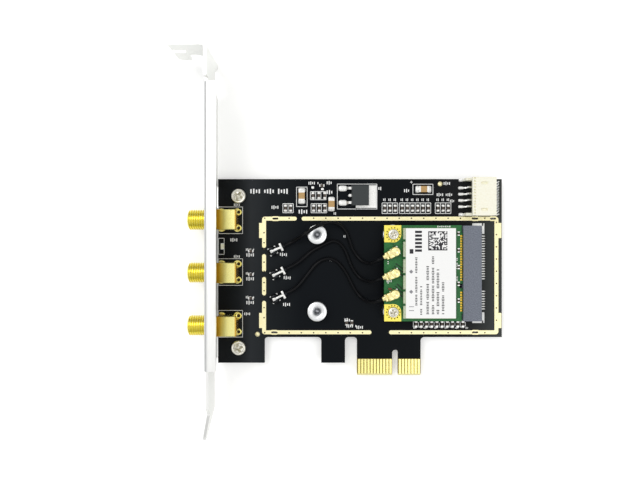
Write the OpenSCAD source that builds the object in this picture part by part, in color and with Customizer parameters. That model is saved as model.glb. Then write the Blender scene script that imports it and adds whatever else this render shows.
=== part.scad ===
// Mini PCIe adapter card: a one-lane expansion card that carries a half-length radio card.
// Millimetres. The origin is the middle of the edge connector's key notch, at its mouth,
// on the board's component face. +X runs away from the slot bracket, +Z is the component side.

/* [Board] */
// Distance from the key notch to the board's bracket end
board_to_bracket_end = 56.5; // [55:0.1:57]
// Distance from the key notch to the board's free end
board_to_free_end = 34; // [33.9:0.1:60]
// Height of the board's main area
board_h = 50.4; // [50.3:0.1:70]
// Thickness of the board
board_t = 1.57; // [1.4:0.01:1.8]
// How far the edge connector reaches below the main area
tongue_drop = 12.2; // [10:0.1:14]
// Edge connector width on the bracket side of the key notch
tongue_long_side = 12.15; // [12.1:0.05:13]
// Edge connector width on the free side of the key notch
tongue_short_side = 8.1; // [8.05:0.05:9]
// Bevel along the edge connector's mouth
tongue_bevel = 0.6; // [0.5:0.05:1.2]
// Width of the key notch
key_w = 1.9; // [1.8:0.05:2]
// Depth of the key notch
key_depth = 8.1; // [7:0.1:9]
// Width of the leg at the bracket
leg_a_w = 14.8; // [13:0.1:16]
// Width of the gap beside that leg
leg_gap_w = 18.1; // [16:0.1:20]
// Width of the second leg
leg_b_w = 7.6; // [6:0.1:7.8]
// How far both legs reach below the main area
leg_drop = 8.2; // [6:0.1:10]
// Radius in the inner corners of the outline
cut_r = 1.15; // [0.5:0.05:1.5]

/* [Edge fingers] */
// Pitch of the edge fingers
finger_pitch = 1; // [0.95:0.01:1]
// Width of a finger
finger_w = 0.7; // [0.5:0.05:0.8]
// Length of a finger
finger_l = 4.6; // [3:0.1:5.6]
// Thickness of the plating on the board
plating_t = 0.06; // [0.04:0.01:0.1]
// Fingers on the bracket side of the notch
fingers_long_side = 11; // [11:1:11]
// Fingers on the free side of the notch
fingers_short_side = 7; // [7:1:7]

/* [Bracket] */
// Thickness of the bracket sheet
bracket_t = 0.86; // [0.8:0.01:1]
// Width of the bracket
bracket_w = 18.42; // [18.2:0.02:18.8]
// Length of the bracket over everything
bracket_l = 119.8; // [119:0.1:121]
// Distance from the key notch to the bracket's inner face
key_to_bracket = 57.15; // [57.1:0.05:57.4]
// Height of the tab's top face above the edge connector's mouth
tab_top = 101.1; // [100:0.1:102]
// How far the bracket reaches below the component face
bracket_below = 3.2; // [3:0.1:3.4]
// Reach of the screw tab from the bracket's inner face
tab_reach = 11.43; // [11:0.05:12]
// Width of the screw notch in the tab
screw_notch_w = 4.42; // [4.2:0.02:4.6]
// Inner radius of the folds
fold_r = 0.5; // [0.3:0.05:0.8]
// Width of the stiffening lip
lip_w = 3.65; // [3:0.05:5]
// Width of the lower tongue
foot_w = 10.19; // [9.8:0.01:10.4]
// Outward bend of the tongue's tip
foot_bend = 13; // [4:1:15]
// Width of a board ear
ear_w = 7.2; // [6:0.1:7.3]
// Length of a board ear from the bracket's inner face
ear_l = 10.6; // [9.8:0.1:12]
// Clearance round a jack in the bracket
jack_hole_gap = 0.2; // [0.1:0.05:0.3]

/* [Antenna jacks] */
// Distance from the lower bracket screw to the first jack's axis
jack_from_screw = 7.6; // [7.4:0.1:7.8]
// Width and height of a jack's body
jack_body_w = 6.25; // [6:0.05:6.5]
// Depth of a jack's body
jack_body_d = 6.9; // [6.8:0.1:7.5]
// Diameter over the thread
jack_thread_d = 6.35; // [6:0.05:6.4]
// How far the thread stands out of the bracket
jack_reach = 7; // [6:0.1:10]
// Bore of the jack's mouth
jack_mouth_d = 4.6; // [4.5:0.05:4.8]
// Diameter of the insulator
jack_insulator_d = 4.1; // [3.8:0.05:4.3]
// Diameter of the centre contact
jack_contact_d = 1.27; // [1.1:0.01:1.4]
// Spacing of the posts
jack_post_pitch = 5.08; // [5:0.02:5.2]
// Diameter of a post
jack_post_d = 1.1; // [0.9:0.05:1.2]
// How far the posts stand out under the board
jack_post_out = 0.9; // [0.4:0.1:1.2]

/* [Card socket] */
// Distance from the key notch to the socket's mouth
socket_x = 20.4; // [20.3:0.1:20.5]
// Length of the socket
socket_l = 29.6; // [29.2:0.1:30]
// Depth of the socket
socket_d = 5.65; // [5.4:0.05:6]
// Height of the socket
socket_h = 5.3; // [5.2:0.1:6]
// Pitch of the socket's contacts
contact_pitch = 0.8; // [0.78:0.01:0.8]
// Thickness of a contact
contact_t = 0.2; // [0.15:0.01:0.25]

/* [Radio card] */
// Width of the radio card
card_w = 29.9; // [29.6:0.1:30]
// Length of the radio card
card_l = 26.8; // [26.6:0.1:27]
// Thickness of the radio card
card_t = 1; // [0.9:0.05:1.05]
// How far the card goes into the socket
card_insertion = 2.4; // [2:0.1:2.6]
// Height of the standoffs that carry the card
standoff_h = 3.2; // [3.1:0.05:3.3]
// Outer diameter of a standoff
standoff_d = 6.1; // [5:0.1:6.4]
// Hole of a standoff
standoff_hole_d = 2.5; // [2:0.1:2.6]
// Distance between the standoffs of a pair
standoff_pitch = 24.2; // [24:0.05:24.4]
// Length of the long card that the spare standoffs serve
long_card_l = 50.95; // [50.5:0.05:51]
// Inset of the screw holes from the card's end
card_hole_inset = 2.8; // [2.6:0.1:3]
// Height of the shield can
can_h = 1.7; // [1.2:0.1:2.2]
// Wall of the shield can
can_wall = 0.2; // [0.15:0.05:0.3]
// Thickness of the label
label_t = 0.12; // [0.08:0.01:0.2]

/* [Coax] */
// Diameter of a coax cable
cable_d = 1.13; // [0.8:0.01:1.2]
// Height of a cable's axis above the face that its plug stands on
cable_axis_h = 1.35; // [1.3:0.05:1.5]
// Outer diameter of a coax plug
plug_d = 3; // [2.8:0.1:3.2]
// Height of a coax plug's top above the face under it
plug_h = 2.3; // [2.2:0.05:2.5]
// Distance from a plug's middle to its cable end
plug_l = 4.2; // [4:0.1:4.6]
// Side of a coax receptacle's base
receptacle_w = 2.6; // [2.4:0.1:2.7]
// Thickness of a coax receptacle's base
receptacle_base_h = 0.35; // [0.3:0.05:0.4]

/* [Side header] */
// Distance from the key notch to the header's back
header_x = 23.2; // [23:0.1:25]
// Distance from the board's top edge to the header's middle
header_inset = 5.85; // [5.8:0.05:6.2]
// Length of the header along the board's end
header_l = 11.95; // [11.4:0.05:12]
// Depth of the header
header_d = 7.4; // [7:0.1:8]
// Height of the header
header_h = 5.5; // [5:0.1:6]
// Wall of the header
header_wall = 0.8; // [0.6:0.05:0.9]
// Pitch of the header's pins
header_pitch = 2; // [1.9:0.05:2]
// Side of a header pin
header_pin_w = 0.5; // [0.4:0.05:0.6]

/* [Regulator] */
// Distance from the key notch to the regulator's middle
regulator_x = -11.25; // [-11.4:0.05:-11]
// Distance from the board's top edge to the regulator's middle
regulator_inset = 5.3; // [5.2:0.1:5.5]
// Length of the regulator's body across its leads
regulator_w = 6.3; // [6.1:0.1:6.7]
// Depth of the regulator's body along its leads
regulator_d = 5.6; // [5.4:0.1:6]
// Height of the regulator's body
regulator_h = 2.3; // [2.1:0.1:2.5]
// Distance between the regulator's leads
regulator_pitch = 4.57; // [4.5:0.01:4.6]

/* [Small parts] */
// Length of a chip part
chip_l = 1.6; // [1.5:0.05:1.7]
// Width of a chip part
chip_w = 0.8; // [0.7:0.05:0.9]
// Height of a chip part
chip_h = 0.45; // [0.4:0.05:0.6]
// Pitch of the chip parts in a row
chip_row_pitch = 1.66; // [1.6:0.01:1.66]
// Length of a large capacitor
cap_l = 3.2; // [3:0.1:3.4]
// Width of a large capacitor
cap_w = 1.9; // [1.6:0.1:2]
// Height of a large capacitor
cap_h = 1.4; // [1:0.1:1.6]

/* [Hidden] */
$fn = 48;
fit_gap = 0.02;
eps = 0.01;

board_left = -board_to_bracket_end;
board_right = board_to_free_end;
board_bottom = tongue_drop;
board_top = board_bottom + board_h;
leg_a_right = board_left + leg_a_w;
leg_b_left = leg_a_right + leg_gap_w;
leg_b_right = leg_b_left + leg_b_w;
leg_bottom = board_bottom - leg_drop;

// fingers beside the key notch stand one and a half pitches from its middle
finger_first = 1.5 * finger_pitch;

// ground strips of the shield frame
strip_w = 1.25;
strip_left = -42.45;
strip_right = 32.9;
strip_bottom = board_bottom + 0.9;
strip_top = board_top - 12;
strip_mid = (strip_top + strip_bottom) / 2;
strip_corner_r = 0.9;
strip_tab_l = 4.8;
strip_tab_w = 0.95;
strip_tab_inset = 2;
// gaps in the strips, as [start, end] along the row or column
strip_gap_top = [-31.4, -29.85];
strip_gap_bottom = [-7.6, -2];
strip_gaps_left = [for (g = [[6.8, 8.8], [-0.5, 1.15], [-8.1, -6.35]]) [strip_mid + g[0], strip_mid + g[1]]];
frame_slot_l = 1.9;
frame_slot_w = 0.6;
frame_slot_rim = 0.45;
frame_slots = [
    [-38.2, strip_top - strip_w / 2], [25.5, strip_top - strip_w / 2],
    [31.2, strip_top - strip_w / 2],
    [-38.6, strip_bottom + strip_w / 2], [25.5, strip_bottom + strip_w / 2]
];

// bracket
bracket_in = -key_to_bracket;
bracket_out = bracket_in - bracket_t;
bracket_high = bracket_w - bracket_below;
fold_out_r = fold_r + bracket_t;
tab_tip = bracket_in - tab_reach;
tab_fold_x = bracket_out - fold_r;
tab_fold_y = tab_top - fold_out_r;
foot_tip = tab_top - bracket_l;
foot_low = 1.9;
foot_high = foot_low + foot_w;
foot_bend_y = foot_tip + 9.3;
foot_bend_h = 7.6;
foot_taper = 2.4;
lip_bottom = 4.7;
lip_top = 89.6;
screw_notch_x = bracket_out - 4.4;
screw_notch_end = 5.9;
tab_finger_end = 0.6;
tab_slit_low = 7.6;
tab_slit_high = 9.5;
tab_slit_end = tab_tip + 3.9;

// screws that hold the board on the bracket's ears
bracket_screw_x = board_left + 6.65;
bracket_screw_ys = [board_bottom - 3.3, board_top - 5.5];
bracket_screw_head_d = 4.6;
bracket_screw_head_h = 1.6;
bracket_screw_d = 2.8;
bracket_screw_hole_d = 3.2;
bracket_screw_out = 1;
ear_top = -board_t;
ear_window_top = 6.4;

// antenna jacks
jack_pitch = (bracket_screw_ys[1] - bracket_screw_ys[0] - 2 * jack_from_screw) / 2;
jack_ys = [for (i = [0:2]) bracket_screw_ys[0] + jack_from_screw + i * jack_pitch];
jack_front = bracket_in + 0.1;
jack_back = jack_front + jack_body_d;
jack_axis_z = jack_body_w / 2;
jack_tip = bracket_out - jack_reach;
jack_post_x = jack_back - 0.15 - jack_post_pitch / 2;
jack_post_hole_d = jack_post_d + 0.5;
jack_pad_d = 2.35;
jack_pin_d = 0.9;
jack_mouth_depth = 2;
jack_relief = 0.3;

// radio card and its socket, which takes two thirds of the spare height below it
socket_y = strip_bottom + strip_w + (strip_top - strip_bottom - 2 * strip_w - socket_l) * 2 / 3
    + socket_l / 2 + 0.05;
card_right = socket_x + card_insertion;
card_left = card_right - card_l;
card_low = socket_y - card_w / 2;
card_high = socket_y + card_w / 2;
card_under = standoff_h;
card_top = card_under + card_t;
card_hole_x = card_left + card_hole_inset;
card_hole_ys = [socket_y - standoff_pitch / 2, socket_y + standoff_pitch / 2];
card_hole_d = 2.6;
spare_hole_inset = 3.25;
spare_hole_x = card_right - long_card_l + spare_hole_inset;
standoff_foot_d = 4;
card_pad_w = 5.3;
card_tongue_w = card_w - 4.6;
contacts_long = 18;
contacts_short = 8;
contacts_gap = 4;
contacts_span = (contacts_long + contacts_short - 2) * contact_pitch + contacts_gap;
contact_ys = concat(
    [for (i = [0:contacts_short - 1]) socket_y - contacts_span / 2 + i * contact_pitch],
    [for (i = [0:contacts_long - 1]) socket_y + contacts_span / 2 - i * contact_pitch]
);
card_key_y = socket_y - contacts_span / 2 + (contacts_short - 1) * contact_pitch + contacts_gap / 2;
card_key_w = 1.5;
card_key_l = 3.5;
card_finger_w = 0.55;
card_finger_l = 2.9;
slot_depth = card_insertion + 0.3;
slot_gap = 0.25;
groove_w = contact_t + 0.16;
groove_depth = 0.5;
contact_beam_h = slot_gap + groove_depth - 0.1;
contact_tail_l = 1.9;
screw_head_d = 3.3;
screw_head_h = 1.1;
card_screw_d = 2.1;

// shield can on the radio card
can_inset = 5.7;
can_l = 16.2;
can_side_low = 1.1;
can_side_high = 0.9;
can_left = card_left + can_inset;
can_right = can_left + can_l;
can_low = card_low + can_side_low;
can_high = card_high - can_side_high;
can_notch_w = 0.9;
can_notch_pitch = 5.1;
label_inset = 0.8;
can_top = card_top + can_h;

// coax routes, from the board's receptacles to the radio card's; their last two points go with
// the card, which carries the receptacles there
low_axis = cable_axis_h;
high_axis = card_top + cable_axis_h;
routes = [
    [[-35.2, 41.4, low_axis], [-33, 42.4, low_axis], [-31.2, 43.4, 2.3], [-29.4, 44.5, 3.7],
     [-27.8, 45.6, 4], [-25.9, 46.9, 4], [-23.8, 47.9, 4], [-21.6, 48.6, 3.7],
     [-19.3, 48.5, 2.7], [-17.2, 47.5, 1.7], [-15.6, 45.5, 1], [-14.6, 43, 0.7],
     [-13.7, 40.5, 0.7],
     [-12.3, 38.2, 0.9], [-10.6, 36.5, 1.7], [-8.8, 35.9, 3.1], [-7.4, 36.2, 4.6],
     [card_left - 2, socket_y + 4.1, high_axis], [card_left - 0.4, socket_y + 4.9, high_axis]],
    [[-34.6, 34, low_axis], [-32.6, 35, low_axis], [-30.4, 36.4, 1], [-28.4, 38.1, 0.7],
     [-26.4, 39.7, 0.6], [-24.3, 40.9, 0.6], [-22.1, 42, 0.6], [-19.9, 42.8, 0.6],
     [-17.9, 42.2, 0.6], [-16.4, 40.5, 0.6], [-15.3, 38.2, 0.6], [-14.3, 35.6, 0.6],
     [-13, 33.2, 0.7], [-11.3, 31.2, 1.2], [-9.4, 30.3, 2.6], [-7.7, 30.3, 4.3],
     [card_left - 2.2, socket_y - 2, high_axis], [card_left - 0.6, socket_y - 1.4, high_axis]],
    [[-34.5, 26.4, low_axis], [-32.5, 27.4, low_axis], [-30.6, 29, 1], [-28.9, 31, 0.7],
     [-27.2, 33.2, 0.6], [-25.5, 35.2, 0.6], [-23.4, 36.7, 0.6], [-21, 37.2, 0.6],
     [-18.7, 36.3, 0.6], [-16.9, 34.5, 0.6], [-15.4, 32.2, 0.6], [-14.2, 29.8, 0.6],
     [-12.9, 27.4, 0.7], [-11.3, 25.3, 1.2], [-9.5, 24.1, 2.6], [-7.8, 23.9, 4.3],
     [card_left - 2.3, socket_y - 8.5, high_axis], [card_left - 0.7, socket_y - 7.9, high_axis]]
];
cable_sides = 8;

// side header
header_y = board_top - header_inset;
header_cavity_depth = header_d - 1;
header_pin_z = 2.7;
header_pin_tip = header_x + header_d - 1;
header_foot_x = header_x - 3.1;
header_window_l = 1.9;
header_window_w = 0.7;
header_window_y = 4.1;
header_side_w = 0.9;
header_side_l = 1.5;

// regulator
regulator_y = board_top - regulator_inset;
regulator_left = regulator_x - regulator_d / 2;
regulator_right = regulator_x + regulator_d / 2;
regulator_lead_w = 0.8;
regulator_lead_t = 0.5;
regulator_tab_reach = 2.2;
regulator_tab_t = 0.5;
regulator_foot = regulator_left - 3.2;

// small parts, as [x, y, turn]
chip_end = 0.3;
top_row_y = board_top - 9.3;
low_row_y = strip_bottom + 3.3;
near_row_y = board_top - 5.3;
edge_chip_y = board_top - 2.1;
row_starts = [[-3.35, 3], [2.2, 6], [13.6, 3]];
chips_turned = concat(
    [for (r = row_starts) for (i = [0:r[1] - 1]) [r[0] + i * chip_row_pitch, top_row_y]],
    [for (i = [0:2]) [-26 + i * (chip_row_pitch + 0.1), top_row_y]],
    [for (i = [0:1]) [-35 + i * chip_row_pitch, top_row_y]],
    [for (i = [0:2]) [-26.2 + i * (chip_row_pitch + 0.2), near_row_y]],
    [for (i = [0:9]) [6.6 + i * chip_row_pitch, low_row_y]],
    [for (i = [0:1]) [-15.5 + i * chip_row_pitch, low_row_y + 0.4]]
);
chips_straight = concat(
    [for (g = strip_gaps_left) [-46, (g[0] + g[1]) / 2]],
    [[-23.4, edge_chip_y]]
);
caps = [[-29.8, board_top - 5.4, 90], [-20.35, board_top - 8, 90], [8.95, board_top - 3.3, 0]];
led_x = board_left + 1.5;
led_y = (jack_ys[1] + jack_ys[2]) / 2 - 0.1;
card_chip_x = can_right + chip_w * 1.5;
card_chip_pitch = (card_high - card_low) / 5.75;
card_chips_y = [for (i = [0:4]) card_high - card_chip_pitch / 2 - i * card_chip_pitch];

// A flat shape drawn in Y and Z, made thick along X from x
module plate_yz(x, t) {
    translate([x, 0, 0]) rotate([90, 0, 90]) linear_extrude(t) children();
}

// A flat shape drawn in X and Z, made thick along Y from y
module plate_xz(y, t) {
    translate([0, y + t, 0]) rotate([90, 0, 0]) linear_extrude(t) children();
}

// A quarter of a ring, between the +X and +Y directions
module quarter_ring(inner, outer) {
    difference() {
        circle(outer);
        circle(inner);
        translate([-outer - eps, -outer - eps]) square([outer + eps, 2 * outer + 2 * eps]);
        translate([-outer - eps, -outer - eps]) square([2 * outer + 2 * eps, outer + eps]);
    }
}

// A rectangle whose far corners are round
module round_end_cut(w, h, r) {
    square([w, h - r]);
    translate([r, 0]) square([w - 2 * r, h]);
    for (x = [r, w - r]) translate([x, h - r]) circle(r);
}

// A bar with round ends, its middle at the origin
module bar(l, w) {
    square([l - w, w], center = true);
    for (s = [-1, 1]) translate([s * (l - w) / 2, 0]) circle(w / 2);
}

// Outline of the board with its legs, connector tongue and key notch
module board_outline() {
    difference() {
        translate([board_left, 0]) square([board_right - board_left, board_top]);
        translate([board_left - 1, -1]) square([leg_a_w + 1, leg_bottom + 1]);
        translate([leg_a_right, -1]) round_end_cut(leg_gap_w, board_bottom + 1, cut_r);
        translate([leg_b_left - 1, -1]) square([leg_b_w + 1, leg_bottom + 1]);
        translate([leg_b_right, -1])
            round_end_cut(-tongue_long_side - leg_b_right, board_bottom + 1, cut_r);
        translate([tongue_short_side, -1])
            square([board_right - tongue_short_side + 1, board_bottom + 1 - cut_r]);
        translate([tongue_short_side + cut_r, -1])
            square([board_right - tongue_short_side + 1, board_bottom + 1]);
        translate([tongue_short_side + cut_r, board_bottom - cut_r]) circle(cut_r);
        translate([-key_w / 2, -1]) square([key_w, key_depth - key_w / 2 + 1]);
        translate([0, key_depth - key_w / 2]) circle(key_w / 2);
    }
}

// Everything drilled or slotted through the board
module board_holes() {
    for (y = bracket_screw_ys) translate([bracket_screw_x, y]) circle(d = bracket_screw_hole_d);
    for (y = jack_ys) {
        for (sx = [-1, 1], sy = [-1, 1])
            translate([jack_post_x + sx * jack_post_pitch / 2, y + sy * jack_post_pitch / 2])
                circle(d = jack_post_hole_d);
        translate([jack_post_x, y]) circle(d = jack_pin_d + 0.2);
    }
    for (x = [card_hole_x, spare_hole_x], y = card_hole_ys)
        translate([x, y]) circle(d = standoff_foot_d + 2 * fit_gap);
    for (p = frame_slots) translate(p) bar(frame_slot_l, frame_slot_w);
}

// The wedge that a bevel takes off one face of the tongue's mouth
module bevel_cut(side) {
    depth = board_t * 0.28;
    translate([-tongue_long_side - 1, 0, side > 0 ? 0 : -board_t]) rotate([90, 0, 90])
        linear_extrude(tongue_long_side + tongue_short_side + 2)
            polygon([[-1, -side * depth * (1 + 1 / tongue_bevel)], [tongue_bevel, 0],
                [tongue_bevel, side], [-1, side]]);
}

module circuit_board() {
    color([0.13, 0.14, 0.16]) difference() {
        translate([0, 0, -board_t]) linear_extrude(board_t) difference() {
            board_outline();
            board_holes();
        }
        for (side = [-1, 1]) bevel_cut(side);
    }
}

module edge_fingers(z) {
    xs = concat(
        [for (i = [0:fingers_long_side - 1]) -finger_first - i * finger_pitch],
        [for (i = [0:fingers_short_side - 1]) finger_first + i * finger_pitch]
    );
    color([0.9, 0.72, 0.3]) for (x = xs)
        translate([x - finger_w / 2, tongue_bevel, z]) cube([finger_w, finger_l, plating_t]);
}

module edge_fingers_front() { edge_fingers(0); }

module edge_fingers_back() { edge_fingers(-board_t - plating_t); }

// Rows and columns of the shield frame, before they are parted
module strip_frame() {
    difference() {
        union() {
            for (x = [strip_left + strip_corner_r, strip_right - strip_corner_r],
                 y = [strip_bottom + strip_corner_r, strip_top - strip_corner_r])
                translate([x, y]) circle(strip_corner_r);
            translate([strip_left + strip_corner_r, strip_bottom])
                square([strip_right - strip_left - 2 * strip_corner_r, strip_top - strip_bottom]);
            translate([strip_left, strip_bottom + strip_corner_r])
                square([strip_right - strip_left, strip_top - strip_bottom - 2 * strip_corner_r]);
        }
        translate([strip_left + strip_w, strip_bottom + strip_w])
            square([strip_right - strip_left - 2 * strip_w, strip_top - strip_bottom - 2 * strip_w]);
    }
    for (x = [strip_left - strip_tab_w, strip_right - eps],
         y = [strip_bottom + strip_tab_inset, strip_top - strip_tab_inset - strip_tab_l])
        translate([x, y]) square([strip_tab_w + eps, strip_tab_l]);
    for (p = frame_slots) translate(p)
        bar(frame_slot_l + 2 * frame_slot_rim, frame_slot_w + 2 * frame_slot_rim);
}

// A round-ended gap across a strip, from a to b along it
module strip_parting(a, b) {
    difference() {
        translate([a - strip_w / 2, -1]) square([b - a + strip_w, strip_w + 2]);
        for (p = [a - strip_w / 2, b + strip_w / 2]) translate([p, strip_w / 2]) circle(strip_w / 2);
    }
}

module shield_ground_strips() {
    color([0.93, 0.9, 0.68]) linear_extrude(plating_t) difference() {
        strip_frame();
        translate([0, strip_top - strip_w]) strip_parting(strip_gap_top[0], strip_gap_top[1]);
        translate([0, strip_bottom]) strip_parting(strip_gap_bottom[0], strip_gap_bottom[1]);
        for (g = strip_gaps_left)
            translate([strip_left + strip_w, 0]) rotate(90) strip_parting(g[0], g[1]);
        for (p = frame_slots) translate(p) bar(frame_slot_l, frame_slot_w);
    }
}

// Flat outline of the bracket's web and foot, as [y, z]
module bracket_outline() {
    high = bracket_high - fold_out_r;
    polygon([
        [tab_fold_y, -bracket_below], [tab_fold_y, bracket_high],
        [lip_top + 1.8, bracket_high], [lip_top + 1.8, foot_high + 0.8],
        [lip_top, foot_high + 0.8], [lip_top, high], [lip_bottom, high],
        [lip_bottom, foot_high], [foot_bend_y + foot_taper, foot_high],
        [foot_bend_y, foot_low + foot_bend_h], [foot_tip + 1.2, foot_low + 5], [foot_tip, foot_low + 4.1],
        [foot_tip, foot_low + 2.2], [foot_tip + 1.2, foot_low + 1.2],
        [foot_bend_y, foot_low], [3.6, foot_low], [8, -bracket_below], [lip_top - 1, -bracket_below],
        [lip_top + 2, 1.4], [lip_top + 6.5, 1.4], [lip_top + 9, -bracket_below]
    ]);
}

// Openings in the bracket's web, as [y, z]
module bracket_openings() {
    for (y = jack_ys) translate([y, jack_axis_z]) circle(d = jack_thread_d + 2 * jack_hole_gap);
    for (y = bracket_screw_ys)
        translate([y - ear_w / 2, ear_top - bracket_t - fold_r])
            square([ear_w, ear_window_top - ear_top + bracket_t + fold_r]);
}

module bracket_web() {
    plate_yz(bracket_out, bracket_t) difference() {
        intersection() {
            bracket_outline();
            translate([foot_bend_y, -bracket_w]) square([bracket_l, 3 * bracket_w]);
        }
        bracket_openings();
    }
    translate([bracket_in - bracket_t / 2, foot_bend_y, 0]) {
        translate([0, 0, foot_low]) cylinder(d = bracket_t, h = foot_bend_h);
        rotate(-foot_bend) translate([-bracket_in + bracket_t / 2, -foot_bend_y, 0])
            plate_yz(bracket_out, bracket_t) intersection() {
                bracket_outline();
                translate([foot_bend_y - bracket_l, -bracket_w]) square([bracket_l, 3 * bracket_w]);
            }
    }
}

module bracket_tab() {
    translate([tab_fold_x, tab_fold_y, -bracket_below])
        linear_extrude(bracket_w) quarter_ring(fold_r, fold_out_r);
    plate_xz(tab_top - bracket_t, bracket_t) difference() {
        polygon([
            [tab_fold_x + eps, bracket_high], [tab_tip, bracket_high], [tab_tip, tab_slit_high],
            [tab_slit_end, tab_slit_high], [tab_slit_end, tab_slit_low], [tab_tip, tab_slit_low],
            [tab_tip, tab_finger_end + 1.4], [tab_tip + 1.4, tab_finger_end],
            [screw_notch_x, tab_finger_end], [screw_notch_x, -bracket_below],
            [tab_fold_x + eps, -bracket_below]
        ]);
        translate([screw_notch_x, screw_notch_end - screw_notch_w / 2]) circle(d = screw_notch_w);
        translate([screw_notch_x - screw_notch_w / 2, -bracket_below - 1])
            square([screw_notch_w, screw_notch_end - screw_notch_w / 2 + bracket_below + 1]);
    }
}

module bracket_lip() {
    fold_x = bracket_out + fold_out_r;
    fold_z = bracket_high - fold_out_r;
    plate_xz(lip_bottom, lip_top - lip_bottom) {
        translate([fold_x, fold_z]) rotate(90) quarter_ring(fold_r, fold_out_r);
        translate([fold_x - eps, bracket_high - bracket_t])
            square([bracket_out + lip_w - fold_x + eps, bracket_t]);
    }
}

module bracket_ear(y) {
    fold_x = bracket_in + fold_r;
    difference() {
        union() {
            plate_xz(y - ear_w / 2, ear_w)
                translate([fold_x, ear_top - fold_out_r]) rotate(90) quarter_ring(fold_r, fold_out_r);
            translate([fold_x - eps, y - ear_w / 2, ear_top - bracket_t])
                cube([ear_l - fold_r + eps, ear_w, bracket_t]);
        }
        translate([bracket_screw_x, y, ear_top - bracket_t - 1])
            cylinder(d = bracket_screw_d + 2 * fit_gap, h = bracket_t + 2);
    }
}

module slot_bracket() {
    color([0.93, 0.93, 0.91]) {
        bracket_web();
        bracket_tab();
        bracket_lip();
        for (y = bracket_screw_ys) bracket_ear(y);
    }
}

// A pan head screw with a cross recess, its head's underside at the origin
module cross_screw(head_d, head_h, shank_d, shank_l) {
    dome_r = head_d * 0.8;
    difference() {
        union() {
            intersection() {
                cylinder(d = head_d, h = head_h);
                translate([0, 0, head_h - dome_r]) sphere(dome_r);
            }
            translate([0, 0, -shank_l]) cylinder(d = shank_d, h = shank_l + eps);
        }
        for (a = [0, 90]) rotate(a)
            translate([-head_d * 0.31, -head_d * 0.085, head_h * 0.3])
                cube([head_d * 0.62, head_d * 0.17, head_h]);
    }
}

module bracket_screws() {
    color([0.86, 0.84, 0.78]) for (y = bracket_screw_ys) translate([bracket_screw_x, y, 0])
        cross_screw(bracket_screw_head_d, bracket_screw_head_h, bracket_screw_d,
            board_t + bracket_t + bracket_screw_out);
}

// Body, threaded barrel and posts of a jack whose axis is at height y
module antenna_jack(y) {
    color([0.93, 0.78, 0.36]) translate([0, y, jack_axis_z]) difference() {
        union() {
            translate([jack_front, -jack_body_w / 2, -jack_body_w / 2])
                cube([jack_body_d, jack_body_w, jack_body_w]);
            translate([jack_tip, 0, 0]) rotate([0, 90, 0])
                cylinder(d = jack_thread_d, h = jack_reach);
            translate([jack_tip, 0, 0]) rotate([0, 90, 0])
                cylinder(d = jack_thread_d - 2 * jack_relief, h = jack_front - jack_tip + eps);
            for (sx = [-1, 1], sy = [-1, 1])
                translate([jack_post_x + sx * jack_post_pitch / 2, sy * jack_post_pitch / 2,
                        -jack_axis_z - board_t - jack_post_out])
                    cylinder(d = jack_post_d, h = board_t + jack_post_out + 1);
        }
        translate([jack_tip - 1, 0, 0]) rotate([0, 90, 0])
            cylinder(d = jack_mouth_d, h = jack_mouth_depth + 1);
        translate([jack_tip, 0, 0]) rotate([0, 90, 0])
            cylinder(d = jack_insulator_d, h = jack_post_x + jack_insulator_d / 2 - jack_tip);
        translate([jack_post_x, 0, -jack_body_w]) cylinder(d = jack_insulator_d, h = jack_body_w);
    }
}

module antenna_jack_1() { antenna_jack(jack_ys[0]); }
module antenna_jack_2() { antenna_jack(jack_ys[1]); }
module antenna_jack_3() { antenna_jack(jack_ys[2]); }

// Insulator with the bore for the contact and its downward pin
module jack_insulator(y) {
    start = jack_tip + jack_mouth_depth;
    d = jack_insulator_d - 2 * fit_gap;
    color([0.93, 0.92, 0.86]) translate([0, y, jack_axis_z]) difference() {
        union() {
            translate([start, 0, 0]) rotate([0, 90, 0])
                cylinder(d = d, h = jack_post_x + d / 2 - start);
            translate([jack_post_x, 0, -jack_axis_z]) cylinder(d = d, h = jack_axis_z);
        }
        translate([start - 1, 0, 0]) rotate([0, 90, 0])
            cylinder(d = jack_contact_d + 2 * fit_gap, h = jack_post_x - start + jack_contact_d / 2 + 1);
        translate([jack_post_x, 0, -jack_axis_z - 1])
            cylinder(d = jack_pin_d + 2 * fit_gap, h = jack_axis_z + 1);
    }
}

module jack_insulator_1() { jack_insulator(jack_ys[0]); }
module jack_insulator_2() { jack_insulator(jack_ys[1]); }
module jack_insulator_3() { jack_insulator(jack_ys[2]); }

// Hollow centre contact that turns down through the board
module jack_contact(y) {
    start = jack_tip + 0.5;
    color([0.95, 0.8, 0.4]) translate([0, y, jack_axis_z]) difference() {
        union() {
            translate([start, 0, 0]) rotate([0, 90, 0])
                cylinder(d = jack_contact_d, h = jack_post_x - start + jack_contact_d / 2);
            translate([jack_post_x, 0, -jack_axis_z - board_t - jack_post_out])
                cylinder(d = jack_pin_d, h = jack_axis_z + board_t + jack_post_out);
        }
        translate([start - 1, 0, 0]) rotate([0, 90, 0])
            cylinder(d = jack_contact_d * 0.72, h = 4);
    }
}

module jack_contact_1() { jack_contact(jack_ys[0]); }
module jack_contact_2() { jack_contact(jack_ys[1]); }
module jack_contact_3() { jack_contact(jack_ys[2]); }

// Ring pads round the jacks' posts, cut off at the board's edge
module jack_pad(sx) {
    linear_extrude(plating_t) difference() {
        intersection() {
            circle(d = jack_pad_d);
            translate([board_left - jack_post_x - sx * jack_post_pitch / 2, -jack_pad_d])
                square([3 * jack_pad_d, 2 * jack_pad_d]);
        }
        circle(d = jack_post_hole_d);
    }
}

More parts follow.
